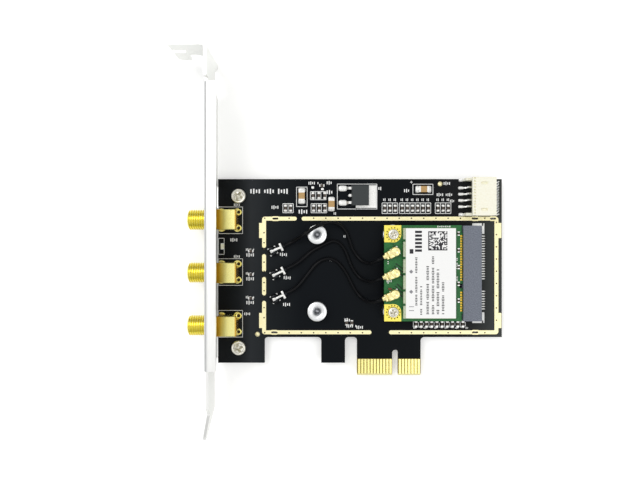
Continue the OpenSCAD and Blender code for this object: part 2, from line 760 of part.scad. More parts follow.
// Pads on the solder side, and those parts of the upper ones that the jacks' bodies leave bare
module jack_pads() {
    color([0.93, 0.8, 0.42]) for (y = jack_ys, sx = [-1, 1], sy = [-1, 1])
        translate([jack_post_x + sx * jack_post_pitch / 2, y + sy * jack_post_pitch / 2, 0]) {
            translate([0, 0, -board_t - plating_t]) jack_pad(sx);
            difference() {
                jack_pad(sx);
                translate([jack_front - jack_post_x - sx * jack_post_pitch / 2 - 1,
                        -sy * jack_post_pitch / 2 - jack_body_w / 2, -1])
                    cube([jack_body_d + 1, jack_body_w, 2]);
            }
        }
}

// Housing with the card slot, its key and one groove for each contact
module card_socket_housing() {
    slot_low = card_under - slot_gap;
    slot_high = card_top + slot_gap;
    color([0.45, 0.47, 0.53]) difference() {
        translate([socket_x, socket_y - socket_l / 2, 0]) cube([socket_d, socket_l, socket_h]);
        difference() {
            translate([socket_x - 1, socket_y - card_tongue_w / 2 - slot_gap / 2, slot_low])
                cube([slot_depth + 1, card_tongue_w + slot_gap, slot_high - slot_low]);
            translate([socket_x - 2, card_key_y - card_key_w / 2 + 0.15, slot_low - 1])
                cube([slot_depth + 3, card_key_w - 0.3, slot_high - slot_low + 2]);
        }
        for (y = contact_ys) translate([0, y - groove_w / 2, 0]) {
            translate([socket_x - 1, 0, slot_high - eps])
                cube([slot_depth + 1, groove_w, groove_depth + eps]);
            translate([socket_x - 1, 0, slot_low - groove_depth])
                cube([slot_depth + 1, groove_w, groove_depth + eps]);
        }
        for (s = [-1, 1])
            translate([socket_x - 1, socket_y + s * socket_l / 2 - 1.2, -1])
                cube([2.6, 2.4, card_under - slot_gap - 0.4 + 1]);
    }
}

// Spring contact over or under the card, with its tail on the board
module socket_contact(y, upper) {
    beam = contact_t;
    side = upper ? 1 : -1;
    face = upper ? card_top + plating_t : card_under;
    back = socket_x + socket_d;
    reach = socket_x + 0.7;
    root = socket_x + slot_depth;
    far = face + side * (contact_beam_h - 0.25);
    translate([0, y + contact_t / 2, 0]) rotate([90, 0, 0]) linear_extrude(contact_t) {
        polygon([
            [reach, face + side * 0.35], [reach + 0.5, face + side * 0.02],
            [reach + 1, face + side * 0.35], [root, far], [root, far + side * beam],
            [reach + 0.9, face + side * (0.35 + beam)], [reach + 0.5, face + side * (0.1 + beam)],
            [reach + 0.1, face + side * (0.35 + beam)]
        ]);
        if (upper) polygon([
            [back, 0.62], [back + 0.12, 0.62], [back + 0.3, 0.18], [back + contact_tail_l, 0.18],
            [back + contact_tail_l, 0], [back + 0.18, 0], [back, 0.4]
        ]);
    }
}

module card_socket_contacts() {
    color([0.86, 0.84, 0.76]) for (y = contact_ys) {
        socket_contact(y, true);
        socket_contact(y, false);
    }
}

// Soldered anchors in the notches under the socket's ends
module card_socket_hold_downs() {
    color([0.85, 0.84, 0.8]) for (s = [-1, 1])
        translate([socket_x + 0.2, socket_y + s * (socket_l / 2 - 0.6) - 0.55, 0]) {
            cube([1.2, 1.1, card_under - slot_gap - 0.45]);
            translate([-0.9, 0, 0]) cube([0.95, 1.1, 0.3]);
        }
}

module radio_card_outline() {
    difference() {
        translate([card_left, card_low]) square([card_l, card_w]);
        for (y = card_hole_ys) translate([card_hole_x, y]) circle(d = card_hole_d);
        translate([card_right - card_key_l + card_key_w / 2, card_key_y - card_key_w / 2])
            square([card_key_l, card_key_w]);
        translate([card_right - card_key_l + card_key_w / 2, card_key_y]) circle(d = card_key_w);
        for (s = [-1, 1])
            translate([socket_x - slot_gap, socket_y + s * (card_tongue_w + card_w) / 2 - card_w / 2])
                square([card_insertion + 1, card_w]);
    }
}

module radio_card_board() {
    color([0.13, 0.42, 0.2]) translate([0, 0, card_under])
        linear_extrude(card_t) radio_card_outline();
}

// Grounding pads round the screw holes, with one round inner corner
module radio_card_pads() {
    color([0.95, 0.9, 0.45]) for (s = [-1, 1]) {
        edge = s > 0 ? card_high : card_low;
        hole_y = socket_y + s * standoff_pitch / 2;
        translate([0, 0, card_top]) linear_extrude(plating_t) difference() {
            union() {
                translate([card_left, min(edge, edge - s * card_pad_w)])
                    square([card_pad_w / 2, card_pad_w]);
                translate([card_left, min(edge, hole_y)])
                    square([card_pad_w, abs(edge - hole_y)]);
                translate([card_hole_x, hole_y]) circle(r = card_left + card_pad_w - card_hole_x);
            }
            translate([card_hole_x, hole_y]) circle(d = card_hole_d);
        }
    }
}

module radio_card_fingers() {
    color([0.85, 0.66, 0.25]) for (y = contact_ys)
        translate([card_right - card_finger_l - 0.2, y - card_finger_w / 2, card_top])
            cube([card_finger_l, card_finger_w, plating_t]);
}

// Folded shield can, open underneath, with notches along its foot
module radio_card_shield() {
    l = can_right - can_left;
    w = can_high - can_low;
    color([0.82, 0.84, 0.83]) difference() {
        translate([can_left, can_low, card_top]) cube([l, w, can_h]);
        translate([can_left + can_wall, can_low + can_wall, card_top - 1])
            cube([l - 2 * can_wall, w - 2 * can_wall, can_h - can_wall + 1]);
        for (y = [can_low + can_notch_pitch / 2:can_notch_pitch:can_high - can_notch_w])
            translate([can_left - 1, y, card_top - 1]) cube([l + 2, can_notch_w, 1 + can_h * 0.45]);
        for (x = [can_left + can_notch_pitch / 2:can_notch_pitch:can_right - can_notch_w])
            translate([x, can_low - 1, card_top - 1]) cube([can_notch_w, w + 2, 1 + can_h * 0.45]);
    }
}

module radio_card_label() {
    color([0.96, 0.96, 0.95])
        translate([can_left + label_inset, can_low + 0.1, can_top])
            cube([can_right - can_left - label_inset, can_high - can_low - 0.2, label_t]);
}

// Body of a chip part, its foot's middle at the origin, long way along X
module chip_body(l, w, h) {
    translate([-l / 2 + chip_end, -w / 2, 0]) cube([l - 2 * chip_end, w, h]);
}

module chip_end_caps(l, w, h) {
    for (s = [-1, 1]) translate([s * (l - chip_end) / 2 - chip_end / 2, -w / 2, 0])
        cube([chip_end, w, h]);
}

module card_chip_places() {
    for (y = card_chips_y) translate([card_chip_x, y, card_top]) rotate(90) children();
}

module radio_card_chips() {
    color([0.3, 0.26, 0.2]) card_chip_places() chip_body(chip_l * 0.8, chip_w * 0.8, chip_h);
}

module radio_card_chip_ends() {
    color([0.8, 0.8, 0.76]) card_chip_places() chip_end_caps(chip_l * 0.8, chip_w * 0.8, chip_h);
}

module card_screws() {
    color([0.87, 0.85, 0.82]) for (y = card_hole_ys)
        translate([card_hole_x, y, card_top + plating_t])
            cross_screw(screw_head_d, screw_head_h, card_screw_d, card_t + plating_t + standoff_h);
}

// Threaded spacer with a foot that stands in the board's hole
module standoff(x, y) {
    color([0.8, 0.8, 0.8]) translate([x, y, 0]) difference() {
        union() {
            cylinder(d = standoff_d, h = standoff_h);
            translate([0, 0, -board_t]) cylinder(d = standoff_foot_d, h = board_t + eps);
        }
        translate([0, 0, -board_t - 1]) cylinder(d = standoff_hole_d, h = standoff_h + board_t + 2);
    }
}

module card_standoff_1() { standoff(card_hole_x, card_hole_ys[0]); }
module card_standoff_2() { standoff(card_hole_x, card_hole_ys[1]); }
module spare_standoff_1() { standoff(spare_hole_x, card_hole_ys[0]); }
module spare_standoff_2() { standoff(spare_hole_x, card_hole_ys[1]); }

// Direction of a cable's end in the board's plane, pointing from the cable to its plug
function end_turn(a, b) = atan2(a[1] - b[1], a[0] - b[0]);

// Puts its children at the middle of a plug, on the face at height z, tail along -X
module at_plug(i, card_end) {
    r = routes[i];
    n = len(r);
    a = card_end ? r[n - 1] : r[0];
    b = card_end ? r[n - 2] : r[1];
    turn = end_turn(a, b);
    translate([a[0] + plug_l * cos(turn), a[1] + plug_l * sin(turn), a[2] - cable_axis_h])
        rotate(turn) children();
}

module receptacle_base() {
    difference() {
        translate([-receptacle_w / 2, -receptacle_w / 2, 0])
            cube([receptacle_w, receptacle_w, receptacle_base_h]);
        translate([0, 0, -1]) cylinder(d = 0.5, h = 3);
    }
}

module board_receptacles() {
    color([0.88, 0.87, 0.82]) for (i = [0:2]) at_plug(i, false) receptacle_base();
}

module card_receptacles() {
    color([0.88, 0.87, 0.82]) for (i = [0:2]) at_plug(i, true) receptacle_base();
}

// Round shells of the receptacles, inside the plugs
module receptacle_shells() {
    color([0.9, 0.78, 0.45]) for (i = [0:2], e = [false, true]) at_plug(i, e)
        translate([0, 0, receptacle_base_h]) difference() {
            cylinder(d = 2, h = 0.9);
            translate([0, 0, -1]) cylinder(d = 1.5, h = 3);
        }
}

// A coax plug: a round shell with its crimped tail round the cable's end
module coax_plug(i, card_end, tint) {
    skirt_z = receptacle_base_h + 0.05;
    tail_w = cable_d + 0.5;
    color(tint) at_plug(i, card_end) {
        difference() {
            union() {
                translate([0, 0, skirt_z]) cylinder(d = plug_d, h = plug_h - skirt_z);
                translate([-plug_d / 2 - 0.7, -plug_d / 2 + 0.3, cable_axis_h - tail_w / 2])
                    cube([plug_d / 2 + 0.7, plug_d - 0.6, tail_w]);
                translate([-plug_l, 0, cable_axis_h]) rotate([0, 90, 0])
                    cylinder(d = tail_w, h = plug_l - plug_d / 2);
            }
            translate([0, 0, -1]) cylinder(d = 2 + 2 * fit_gap, h = 1 + receptacle_base_h + 1.1);
        }
    }
}

module board_plug_1() { coax_plug(0, false, [0.85, 0.85, 0.83]); }
module board_plug_2() { coax_plug(1, false, [0.85, 0.85, 0.83]); }
module board_plug_3() { coax_plug(2, false, [0.85, 0.85, 0.83]); }
module card_plug_1() { coax_plug(0, true, [0.95, 0.86, 0.55]); }
module card_plug_2() { coax_plug(1, true, [0.95, 0.86, 0.55]); }
module card_plug_3() { coax_plug(2, true, [0.95, 0.86, 0.55]); }

function unit(v) = v / norm(v);

// Direction of a route at point i
function route_dir(r, i) =
    unit(r[min(i + 1, len(r) - 1)] - r[max(i - 1, 0)]);

// Ring of points round route point i, square to the route
function route_ring(r, i) =
    let (d = route_dir(r, i), side = unit(cross([0, 0, 1], d)), up = cross(d, side))
    [for (k = [0:cable_sides - 1])
        let (a = 360 * (k + 0.5) / cable_sides)
        r[i] + cable_d / 2 * (cos(a) * side + sin(a) * up)];

// A tube swept along a route
module coax_cable(r) {
    n = len(r);
    m = cable_sides;
    points = [for (i = [0:n - 1]) each route_ring(r, i)];
    near = [for (i = [0:n - 2], k = [0:m - 1]) [i * m + k, i * m + (k + 1) % m, (i + 1) * m + k]];
    far = [for (i = [0:n - 2], k = [0:m - 1])
        [i * m + (k + 1) % m, (i + 1) * m + (k + 1) % m, (i + 1) * m + k]];
    first = [for (k = [m - 1:-1:0]) k];
    last = [for (k = [0:m - 1]) (n - 1) * m + k];
    color([0.08, 0.08, 0.09]) polyhedron(points, concat(near, far, [first, last]));
}

module coax_cable_1() { coax_cable(routes[0]); }
module coax_cable_2() { coax_cable(routes[1]); }
module coax_cable_3() { coax_cable(routes[2]); }

// Open-fronted housing with polarising windows in its top and side feet
module header_housing() {
    low = header_y - header_l / 2;
    color([0.93, 0.91, 0.8]) difference() {
        union() {
            translate([header_x, low, 0]) cube([header_d, header_l, header_h]);
            for (y = [low, low + header_l - header_side_w])
                translate([header_x - header_side_l, y, 0])
                    cube([header_side_l + eps, header_side_w, header_h * 0.6]);
        }
        translate([header_x + header_d - header_cavity_depth, low + header_wall + header_side_w,
                header_wall])
            cube([header_cavity_depth + 1, header_l - 2 * (header_wall + header_side_w),
                header_h - 2 * header_wall]);
        for (s = [-1, 1])
            translate([header_x + header_d / 2 - header_window_l / 2,
                    header_y + s * header_window_y - header_window_w / 2, header_h / 2])
                cube([header_window_l, header_window_w, header_h]);
        for (i = [0:3])
            translate([header_x - 1, header_y + (i - 1.5) * header_pitch - header_pin_w / 2 - fit_gap,
                    header_pin_z - header_pin_w / 2 - fit_gap])
                cube([header_d / 2, header_pin_w + 2 * fit_gap, header_pin_w + 2 * fit_gap]);
    }
}

// Pins that turn down behind the housing and lie on the board
module header_pins() {
    w = header_pin_w;
    back = header_x - 0.9;
    color([0.85, 0.85, 0.82]) for (i = [0:3])
        translate([0, header_y + (i - 1.5) * header_pitch + w / 2, 0])
            rotate([90, 0, 0]) linear_extrude(w) polygon([
                [header_foot_x, 0], [back + 0.3, 0], [back + w, 0.3],
                [back + w, header_pin_z - w / 2], [header_pin_tip, header_pin_z - w / 2],
                [header_pin_tip, header_pin_z + w / 2], [back + 0.3, header_pin_z + w / 2],
                [back, header_pin_z], [back, w], [header_foot_x, w * 0.8]
            ]);
}

// Solder anchors beside the housing's side feet
module header_hold_downs() {
    color([0.85, 0.85, 0.82]) for (s = [-1, 1])
        translate([header_x - header_side_l - 0.95,
                header_y + s * (header_l / 2 - header_side_w / 2) - 0.35, 0])
            cube([0.95, 0.7, 1.2]);
}

module regulator_body() {
    b = regulator_w / 2;
    color([0.2, 0.21, 0.22]) translate([regulator_x, regulator_y, 0]) rotate([90, 0, 0])
        translate([0, 0, -b]) linear_extrude(regulator_w) polygon([
            [-regulator_d / 2 + 0.15, 0.05], [-regulator_d / 2, regulator_h * 0.5],
            [-regulator_d / 2 + 0.25, regulator_h], [regulator_d / 2 - 0.2, regulator_h],
            [regulator_d / 2, regulator_h * 0.5], [regulator_d / 2, regulator_tab_t],
            [-regulator_d / 2 + 1, regulator_tab_t], [-regulator_d / 2 + 1, 0.05]
        ]);
}

// Heat tab that runs under the body, with a cut corner at each side
module regulator_tab() {
    b = regulator_w / 2 - 0.1;
    r = regulator_d / 2 + regulator_tab_reach;
    color([0.86, 0.86, 0.84]) translate([regulator_x, regulator_y, 0])
        linear_extrude(regulator_tab_t) polygon([
            [-regulator_d / 2 + 1, -b], [r - 0.5, -b], [r, -b + 0.5],
            [r, b - 0.5], [r - 0.5, b], [-regulator_d / 2 + 1, b]
        ]);
}

// Two formed leads and the cut middle one
module regulator_leads() {
    z = regulator_h * 0.5;
    t = regulator_lead_t;
    color([0.86, 0.86, 0.84]) translate([0, regulator_y, 0]) {
        for (s = [-1, 1])
            translate([0, s * regulator_pitch / 2 + regulator_lead_w / 2, 0])
                rotate([90, 0, 0]) linear_extrude(regulator_lead_w) polygon([
                    [regulator_left, z - t / 2], [regulator_left, z + t / 2],
                    [regulator_left - 0.9, z + t / 2], [regulator_left - 1.6, t],
                    [regulator_foot, t], [regulator_foot, 0], [regulator_left - 1.9, 0],
                    [regulator_left - 1.15, z - t / 2]
                ]);
        translate([regulator_left - 0.7, -regulator_lead_w / 2, z - t / 2])
            cube([0.7, regulator_lead_w, t]);
    }
}

module cap_places() {
    for (c = caps) translate([c[0], c[1], 0]) rotate(c[2]) children();
}

module power_capacitors() {
    color([0.78, 0.6, 0.42]) cap_places()
        translate([-cap_l / 2 + 0.6, -cap_w / 2, 0]) cube([cap_l - 1.2, cap_w, cap_h]);
}

module power_capacitor_ends() {
    color([0.88, 0.88, 0.86]) cap_places()
        for (s = [-1, 1]) translate([s * (cap_l / 2 - 0.3) - 0.3, -cap_w / 2, 0])
            cube([0.6, cap_w, cap_h]);
}

module chip_places() {
    for (p = chips_turned) translate([p[0], p[1], 0]) rotate(90) children();
    for (p = chips_straight) translate([p[0], p[1], 0]) children();
}

module chip_bodies() {
    color([0.2, 0.19, 0.19]) chip_places() chip_body(chip_l, chip_w, chip_h);
}

module chip_ends() {
    color([0.82, 0.82, 0.8]) chip_places() chip_end_caps(chip_l, chip_w, chip_h);
}

module status_light() {
    color([0.92, 0.92, 0.82]) translate([led_x, led_y, 0]) rotate(90)
        chip_body(chip_l + 0.4, chip_w + 0.3, chip_h + 0.2);
}

module status_light_ends() {
    color([0.85, 0.82, 0.7]) translate([led_x, led_y, 0]) rotate(90)
        chip_end_caps(chip_l + 0.4, chip_w + 0.3, chip_h);
}

slot_bracket();
bracket_screws();
circuit_board();
edge_fingers_front();
edge_fingers_back();
shield_ground_strips();
antenna_jack_1();
antenna_jack_2();
antenna_jack_3();
jack_insulator_1();
jack_insulator_2();
jack_insulator_3();
jack_contact_1();
jack_contact_2();
jack_contact_3();
jack_pads();
card_socket_housing();
card_socket_contacts();
card_socket_hold_downs();
radio_card_board();
radio_card_pads();
radio_card_fingers();
radio_card_shield();
radio_card_label();
radio_card_chips();
radio_card_chip_ends();
card_screws();
card_standoff_1();
card_standoff_2();
spare_standoff_1();
spare_standoff_2();
board_receptacles();
card_receptacles();
receptacle_shells();
board_plug_1();
board_plug_2();
board_plug_3();
card_plug_1();
card_plug_2();
card_plug_3();
coax_cable_1();
coax_cable_2();
coax_cable_3();
header_housing();
header_pins();
header_hold_downs();
regulator_body();
regulator_tab();
regulator_leads();
power_capacitors();
power_capacitor_ends();
chip_bodies();
chip_ends();
status_light();
status_light_ends();
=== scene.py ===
# Mini PCIe adapter card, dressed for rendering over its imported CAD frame.
# Sizes in the dictionaries are millimetres; meshes are made in metres.
import math

import bpy
import numpy as np
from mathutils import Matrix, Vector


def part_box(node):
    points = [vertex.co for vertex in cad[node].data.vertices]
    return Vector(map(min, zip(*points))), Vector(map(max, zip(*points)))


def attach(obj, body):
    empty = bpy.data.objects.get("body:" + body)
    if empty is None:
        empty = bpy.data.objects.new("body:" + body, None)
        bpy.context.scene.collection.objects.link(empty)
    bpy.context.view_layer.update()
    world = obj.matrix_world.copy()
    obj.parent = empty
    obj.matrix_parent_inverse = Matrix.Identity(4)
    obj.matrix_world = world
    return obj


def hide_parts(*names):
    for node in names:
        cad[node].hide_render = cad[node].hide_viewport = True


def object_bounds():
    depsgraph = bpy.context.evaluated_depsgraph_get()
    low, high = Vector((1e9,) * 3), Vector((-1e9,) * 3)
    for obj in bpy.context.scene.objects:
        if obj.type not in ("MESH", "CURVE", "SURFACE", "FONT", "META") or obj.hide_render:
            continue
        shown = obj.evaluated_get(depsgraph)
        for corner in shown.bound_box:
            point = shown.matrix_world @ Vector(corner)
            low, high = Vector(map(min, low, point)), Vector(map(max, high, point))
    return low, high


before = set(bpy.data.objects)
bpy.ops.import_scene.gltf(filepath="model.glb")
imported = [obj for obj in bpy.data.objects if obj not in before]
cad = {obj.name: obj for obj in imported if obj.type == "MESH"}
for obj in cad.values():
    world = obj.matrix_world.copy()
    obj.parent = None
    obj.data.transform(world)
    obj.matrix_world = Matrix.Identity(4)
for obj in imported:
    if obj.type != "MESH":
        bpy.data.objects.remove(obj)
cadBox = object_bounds()
mm = 0.001
print("frame loaded,", len(cad), "CAD nodes")

# camera, floor and light

view = dict(
    eye=(-23.99, 43.16, 175.0),
    lens=30.86,
    floorDrop=0.02,
    floorHalf=900,
    floorTone=(236, 236, 234),
    floorGlow=0.36,
    skyLight=0.84,
    skyTop=1.08,
    skyRim=0.42,
    skyFade=(0.05, 0.85),
)
lamps = [
    dict(name="keyLamp", at=(-420, 330, 760), aim=(-20, 45, 0), size=420, watts=2.4),
    dict(name="fillLamp", at=(380, -160, 700), aim=(-10, 40, 0), size=520, watts=1.0),
]


def linear(rgb):
    # values 0 to 255 as the shader's linear colour
    c = np.array(rgb) / 255
    c = np.where(c <= 0.04045, c / 12.92, ((c + 0.055) / 1.055) ** 2.4)
    return (*[float(v) for v in c], 1)


def feed(tree, made, feeds):
    # for an input's name or number, a socket to link or a value to set
    for place, value in feeds.items():
        if isinstance(value, bpy.types.NodeSocket):
            tree.links.new(value, made.inputs[place])
        else:
            made.inputs[place].default_value = value
    return made


def addNode(tree, kind, feeds=None, **settings):
    made = tree.nodes.new(kind)
    for key, value in settings.items():
        setattr(made, key, value)
    return feed(tree, made, feeds or {})


def maths(tree, operation, *values):
    return addNode(tree, "ShaderNodeMath", dict(enumerate(values)), operation=operation).outputs[0]


def coordinates(tree, output="Object"):
    # the X, Y and Z sockets of a Texture Coordinate output
    place = addNode(tree, "ShaderNodeTexCoord").outputs[output]
    return addNode(tree, "ShaderNodeSeparateXYZ", {0: place}).outputs


def ranged(tree, value, start, end, low=0, high=1, **settings):
    # low at start, high at end
    feeds = {"Value": value, "From Min": start, "From Max": end, "To Min": low, "To Max": high}
    return addNode(tree, "ShaderNodeMapRange", feeds, **settings).outputs[0]


def mixed(tree, share, low, high):
    # low where the share is 0, high where it is 1
    return addNode(tree, "ShaderNodeMix", {0: share, 2: low, 3: high}, data_type="FLOAT").outputs[0]


def seenDirectly(tree):
    # 1 on camera, glossy and transmission rays, 0 on the rays that light things
    path = addNode(tree, "ShaderNodeLightPath").outputs
    either = maths(tree, "MAXIMUM", path["Is Camera Ray"], path["Is Glossy Ray"])
    return maths(tree, "MAXIMUM", either, path["Is Transmission Ray"]), path["Is Camera Ray"]


def setCamera():
    data = bpy.data.cameras.new("fromAbove")
    data.lens, data.sensor_width = view["lens"], 36
    data.clip_start, data.clip_end = 0.005, 20
    eye = bpy.data.objects.new("fromAbove", data)
    eye.location = [v * mm for v in view["eye"]]
    bpy.context.scene.collection.objects.link(eye)
    bpy.context.scene.camera = eye
    bpy.context.scene.view_settings.view_transform = "Standard"


def setSky():
    # white where the camera looks at it; brighter overhead than at the rim in reflections
    sky = bpy.data.worlds.new("studioSky")
    sky.use_nodes = True
    tree = sky.node_tree
    tree.nodes.clear()
    direct, camera = seenDirectly(tree)
    height = coordinates(tree, "Generated")["Z"]
    glare = ranged(tree, height, *view["skyFade"], view["skyRim"], view["skyTop"],
                   interpolation_type="SMOOTHSTEP")
    lit = mixed(tree, direct, view["skyLight"], glare)
    glow = addNode(tree, "ShaderNodeBackground", {"Strength": mixed(tree, camera, lit, 1)})
    addNode(tree, "ShaderNodeOutputWorld", {0: glow.outputs[0]})
    bpy.context.scene.world = sky


def setFloor():
    half, low = view["floorHalf"] * mm, cadBox[0][2] - view["floorDrop"] * mm
    shape = bpy.data.meshes.new("floor")
    corners = [(x * half, y * half, low) for x, y in ((-1, -1), (1, -1), (1, 1), (-1, 1))]
    shape.from_pydata(corners, [], [(0, 1, 2, 3)])
    floor = bpy.data.objects.new("floor", shape)
    bpy.context.scene.collection.objects.link(floor)
    paint = bpy.data.materials.new("floorPaint")
    paint.use_nodes = True
    tree = paint.node_tree
    tree.nodes.clear()
    direct, _ = seenDirectly(tree)
    matt = addNode(tree, "ShaderNodeBsdfDiffuse", {"Color": linear(view["floorTone"])})
    # painted shadow: no glow under the board, so that its slots and holes stay dark: outside = the
    # larger of
    # |x - middle| / half and |y - middle| / half is over 1
    place = coordinates(tree)
    low, high = [np.array(c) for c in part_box("shield_ground_strips")]
    apart = []
    for k in (0, 1):
        off = maths(tree, "ABSOLUTE", maths(tree, "SUBTRACT", place[k], (low[k] + high[k]) / 2))
        apart.append(maths(tree, "DIVIDE", off, (high[k] - low[k]) / 2))
    outside = maths(tree, "GREATER_THAN", maths(tree, "MAXIMUM", *apart), 1)
    seen = maths(tree, "MULTIPLY", outside, direct)
    strength = maths(tree, "MULTIPLY", seen, view["floorGlow"])
    glow = addNode(tree, "ShaderNodeEmission", {"Strength": strength})
    both = addNode(tree, "ShaderNodeAddShader", {0: matt.outputs[0], 1: glow.outputs[0]})
    addNode(tree, "ShaderNodeOutputMaterial", {0: both.outputs[0]})
    shape.materials.append(paint)


def setLamps():
    for lamp in lamps:
        data = bpy.data.lights.new(lamp["name"], "AREA")
        data.size, data.energy = lamp["size"] * mm, lamp["watts"]
        made = bpy.data.objects.new(lamp["name"], data)
        at, aim = np.array(lamp["at"]) * mm, np.array(lamp["aim"]) * mm
        made.location = at
        made.rotation_euler = Vector(aim - at).to_track_quat("-Z", "Y").to_euler()
        bpy.context.scene.collection.objects.link(made)


setCamera()
setSky()
setFloor()
setLamps()
print("camera, floor and light set")

# finishes: colours as values 0 to 255, grain in features per millimetre

finishes = {
    "boardMask": dict(tone=(7, 10, 14), toneTo=(13, 17, 21), grain=1.2, rough=(0.38, 0.5),
                      level=0.08, bump=0.12, bumpGrain=9),
    "cardMask": dict(tone=(22, 92, 42), toneTo=(38, 118, 56), grain=2.5, rough=(0.28, 0.42),
                     level=0.35, bump=0.15, bumpGrain=8),
    "bracketSteel": dict(tone=(243, 243, 240), toneTo=(250, 250, 248), grain=1.5,
                         stretch=(1, 0.06, 1), rough=(0.3, 0.45), metallic=0.85, bump=0.12,
                         bumpGrain=6),
    "screwSteel": dict(tone=(214, 210, 196), toneTo=(240, 238, 228), grain=5, rough=(0.2, 0.38),
                       metallic=1, bump=0.15, bumpGrain=12),
    "standoffSteel": dict(tone=(222, 224, 225), toneTo=(244, 245, 245), grain=4, rough=(0.24, 0.4),
                          metallic=1, bump=0.15, bumpGrain=10),
    # painted shade: a darker copy of the standoff steel for the inside of the holes
    "boreShadeSteel": dict(tone=(122, 124, 128), toneTo=(176, 178, 182), grain=2, rough=(0.3, 0.45),
                      metallic=1, bump=0.2, bumpGrain=9),
    "canSteel": dict(tone=(156, 166, 138), toneTo=(186, 193, 168), grain=3, rough=(0.25, 0.4),
                     metallic=0.9, bump=0.1, bumpGrain=8),
    "fingerGold": dict(tone=(250, 236, 138), toneTo=(254, 246, 176), grain=5, rough=(0.18, 0.3),
                       metallic=1, bump=0.1, bumpGrain=14),
    "cardFingerGold": dict(tone=(206, 166, 50), toneTo=(226, 190, 78), grain=5, rough=(0.2, 0.34),
                           metallic=1, bump=0.1, bumpGrain=14),
    "padGold": dict(tone=(247, 226, 88), toneTo=(250, 236, 118), grain=4, rough=(0.3, 0.45),
                    metallic=0.7, bump=0.12, bumpGrain=10),
    "paleGold": dict(tone=(248, 236, 178), toneTo=(252, 246, 206), grain=3, rough=(0.35, 0.5),
                     metallic=0.6, bump=0.2, bumpGrain=7),
    "jackGold": dict(tone=(248, 232, 128), toneTo=(254, 244, 160), grain=3, rough=(0.2, 0.3),
                     metallic=1, bump=0.08, bumpGrain=9),
    "plugGold": dict(tone=(240, 224, 146), toneTo=(252, 242, 186), grain=4, rough=(0.25, 0.4),
                     metallic=0.85, bump=0.15, bumpGrain=10),
    "plugSilver": dict(tone=(226, 226, 222), toneTo=(250, 250, 248), grain=4, rough=(0.2, 0.36),
                       metallic=1, bump=0.12, bumpGrain=10),
    "tinPlate": dict(tone=(226, 226, 222), toneTo=(248, 248, 246), grain=4, rough=(0.25, 0.42),
                     metallic=0.95, bump=0.2, bumpGrain=8),
    "socketPlastic": dict(tone=(92, 98, 110), toneTo=(126, 131, 142), grain=3.2, rough=(0.5, 0.65),
                          level=0.4, bump=0.35, bumpGrain=11),
    "headerPlastic": dict(tone=(246, 243, 222), toneTo=(252, 250, 234), grain=2, rough=(0.4, 0.55),
                          level=0.45, bump=0.15, bumpGrain=8, skin=0.06),
    "regulatorPlastic": dict(tone=(44, 49, 50), toneTo=(57, 61, 62), grain=7, rough=(0.5, 0.66),
                             level=0.35, bump=0.4, bumpGrain=12),
    "insulatorWhite": dict(tone=(238, 236, 226), toneTo=(248, 247, 240), grain=3, rough=(0.4, 0.5),
                           level=0.4, bump=0.08, bumpGrain=8),
    "chipCeramic": dict(tone=(52, 48, 46), toneTo=(96, 84, 72), grain=2.2, rough=(0.4, 0.6),
                        level=0.4, bump=0.3, bumpGrain=9),
    "capCeramic": dict(tone=(164, 126, 74), toneTo=(202, 168, 114), grain=5, rough=(0.42, 0.58),
                       level=0.4, bump=0.25, bumpGrain=10),
    "lightResin": dict(tone=(232, 232, 206), toneTo=(246, 246, 228), grain=3, rough=(0.2, 0.3),
                       level=0.5, bump=0.05, bumpGrain=8, skin=0.2),
    "labelPaper": dict(tone=(244, 244, 242), toneTo=(250, 250, 249), grain=4, rough=(0.45, 0.6),
                       level=0.35, bump=0.1, bumpGrain=10),
    "cableJacket": dict(tone=(7, 8, 10), toneTo=(12, 13, 16), grain=4, rough=(0.26, 0.36),
                        level=0.1, bump=0.12, bumpGrain=9),
    # painted reflection: silver made dark for the dark surroundings that the board plugs' heads mirror
    "plugDarkReflection": dict(tone=(24, 26, 28), toneTo=(46, 48, 50), grain=5, rough=(0.16, 0.3),
                     metallic=1, bump=0.12, bumpGrain=10),
    "solder": dict(tone=(236, 236, 232), toneTo=(250, 250, 248), grain=4, rough=(0.3, 0.5),
                   metallic=0.4, bump=0.35, bumpGrain=7),
    "traceGreen": dict(tone=(6, 38, 18), toneTo=(12, 52, 24), grain=4, rough=(0.3, 0.42),
                       level=0.35, bump=0.1, bumpGrain=9),
    "partBrown": dict(tone=(96, 54, 36), toneTo=(126, 74, 48), grain=4, rough=(0.4, 0.55),
                      level=0.4, bump=0.2, bumpGrain=10),
    # painted shade: a darker copy of the card's green
    "notchShade": dict(tone=(20, 72, 36), toneTo=(36, 90, 48), grain=5, rough=(0.6, 0.7),
                      level=0.2, bump=0.05, bumpGrain=10),
    "whiteInk": dict(tone=(240, 242, 240), toneTo=(254, 254, 253), grain=6, rough=(0.55, 0.7),
                     level=0.2, bump=0.15, bumpGrain=10),
    "greyInk": dict(tone=(120, 120, 124), toneTo=(160, 160, 164), grain=6, rough=(0.6, 0.7),
                    level=0.2, bump=0.05, bumpGrain=10),
    "darkInk": dict(tone=(38, 38, 42), toneTo=(62, 62, 66), grain=5, rough=(0.6, 0.7),
                    level=0.2, bump=0.05, bumpGrain=10),
    # painted shade: the dark of holes and hollows
    "holeShade": dict(tone=(52, 44, 30), toneTo=(78, 68, 46), grain=5, rough=(0.6, 0.7),
                    level=0.2, bump=0.05, bumpGrain=10),
}


def noiseFrom(tree, coord, grain, stretch=(1, 1, 1), detail=3.0):
    place = addNode(tree, "ShaderNodeMapping", {"Vector": coord, "Scale": stretch})
    feeds = {"Vector": place.outputs[0], "Scale": grain / mm, "Detail": detail}
    return addNode(tree, "ShaderNodeTexNoise", feeds).outputs["Fac"]


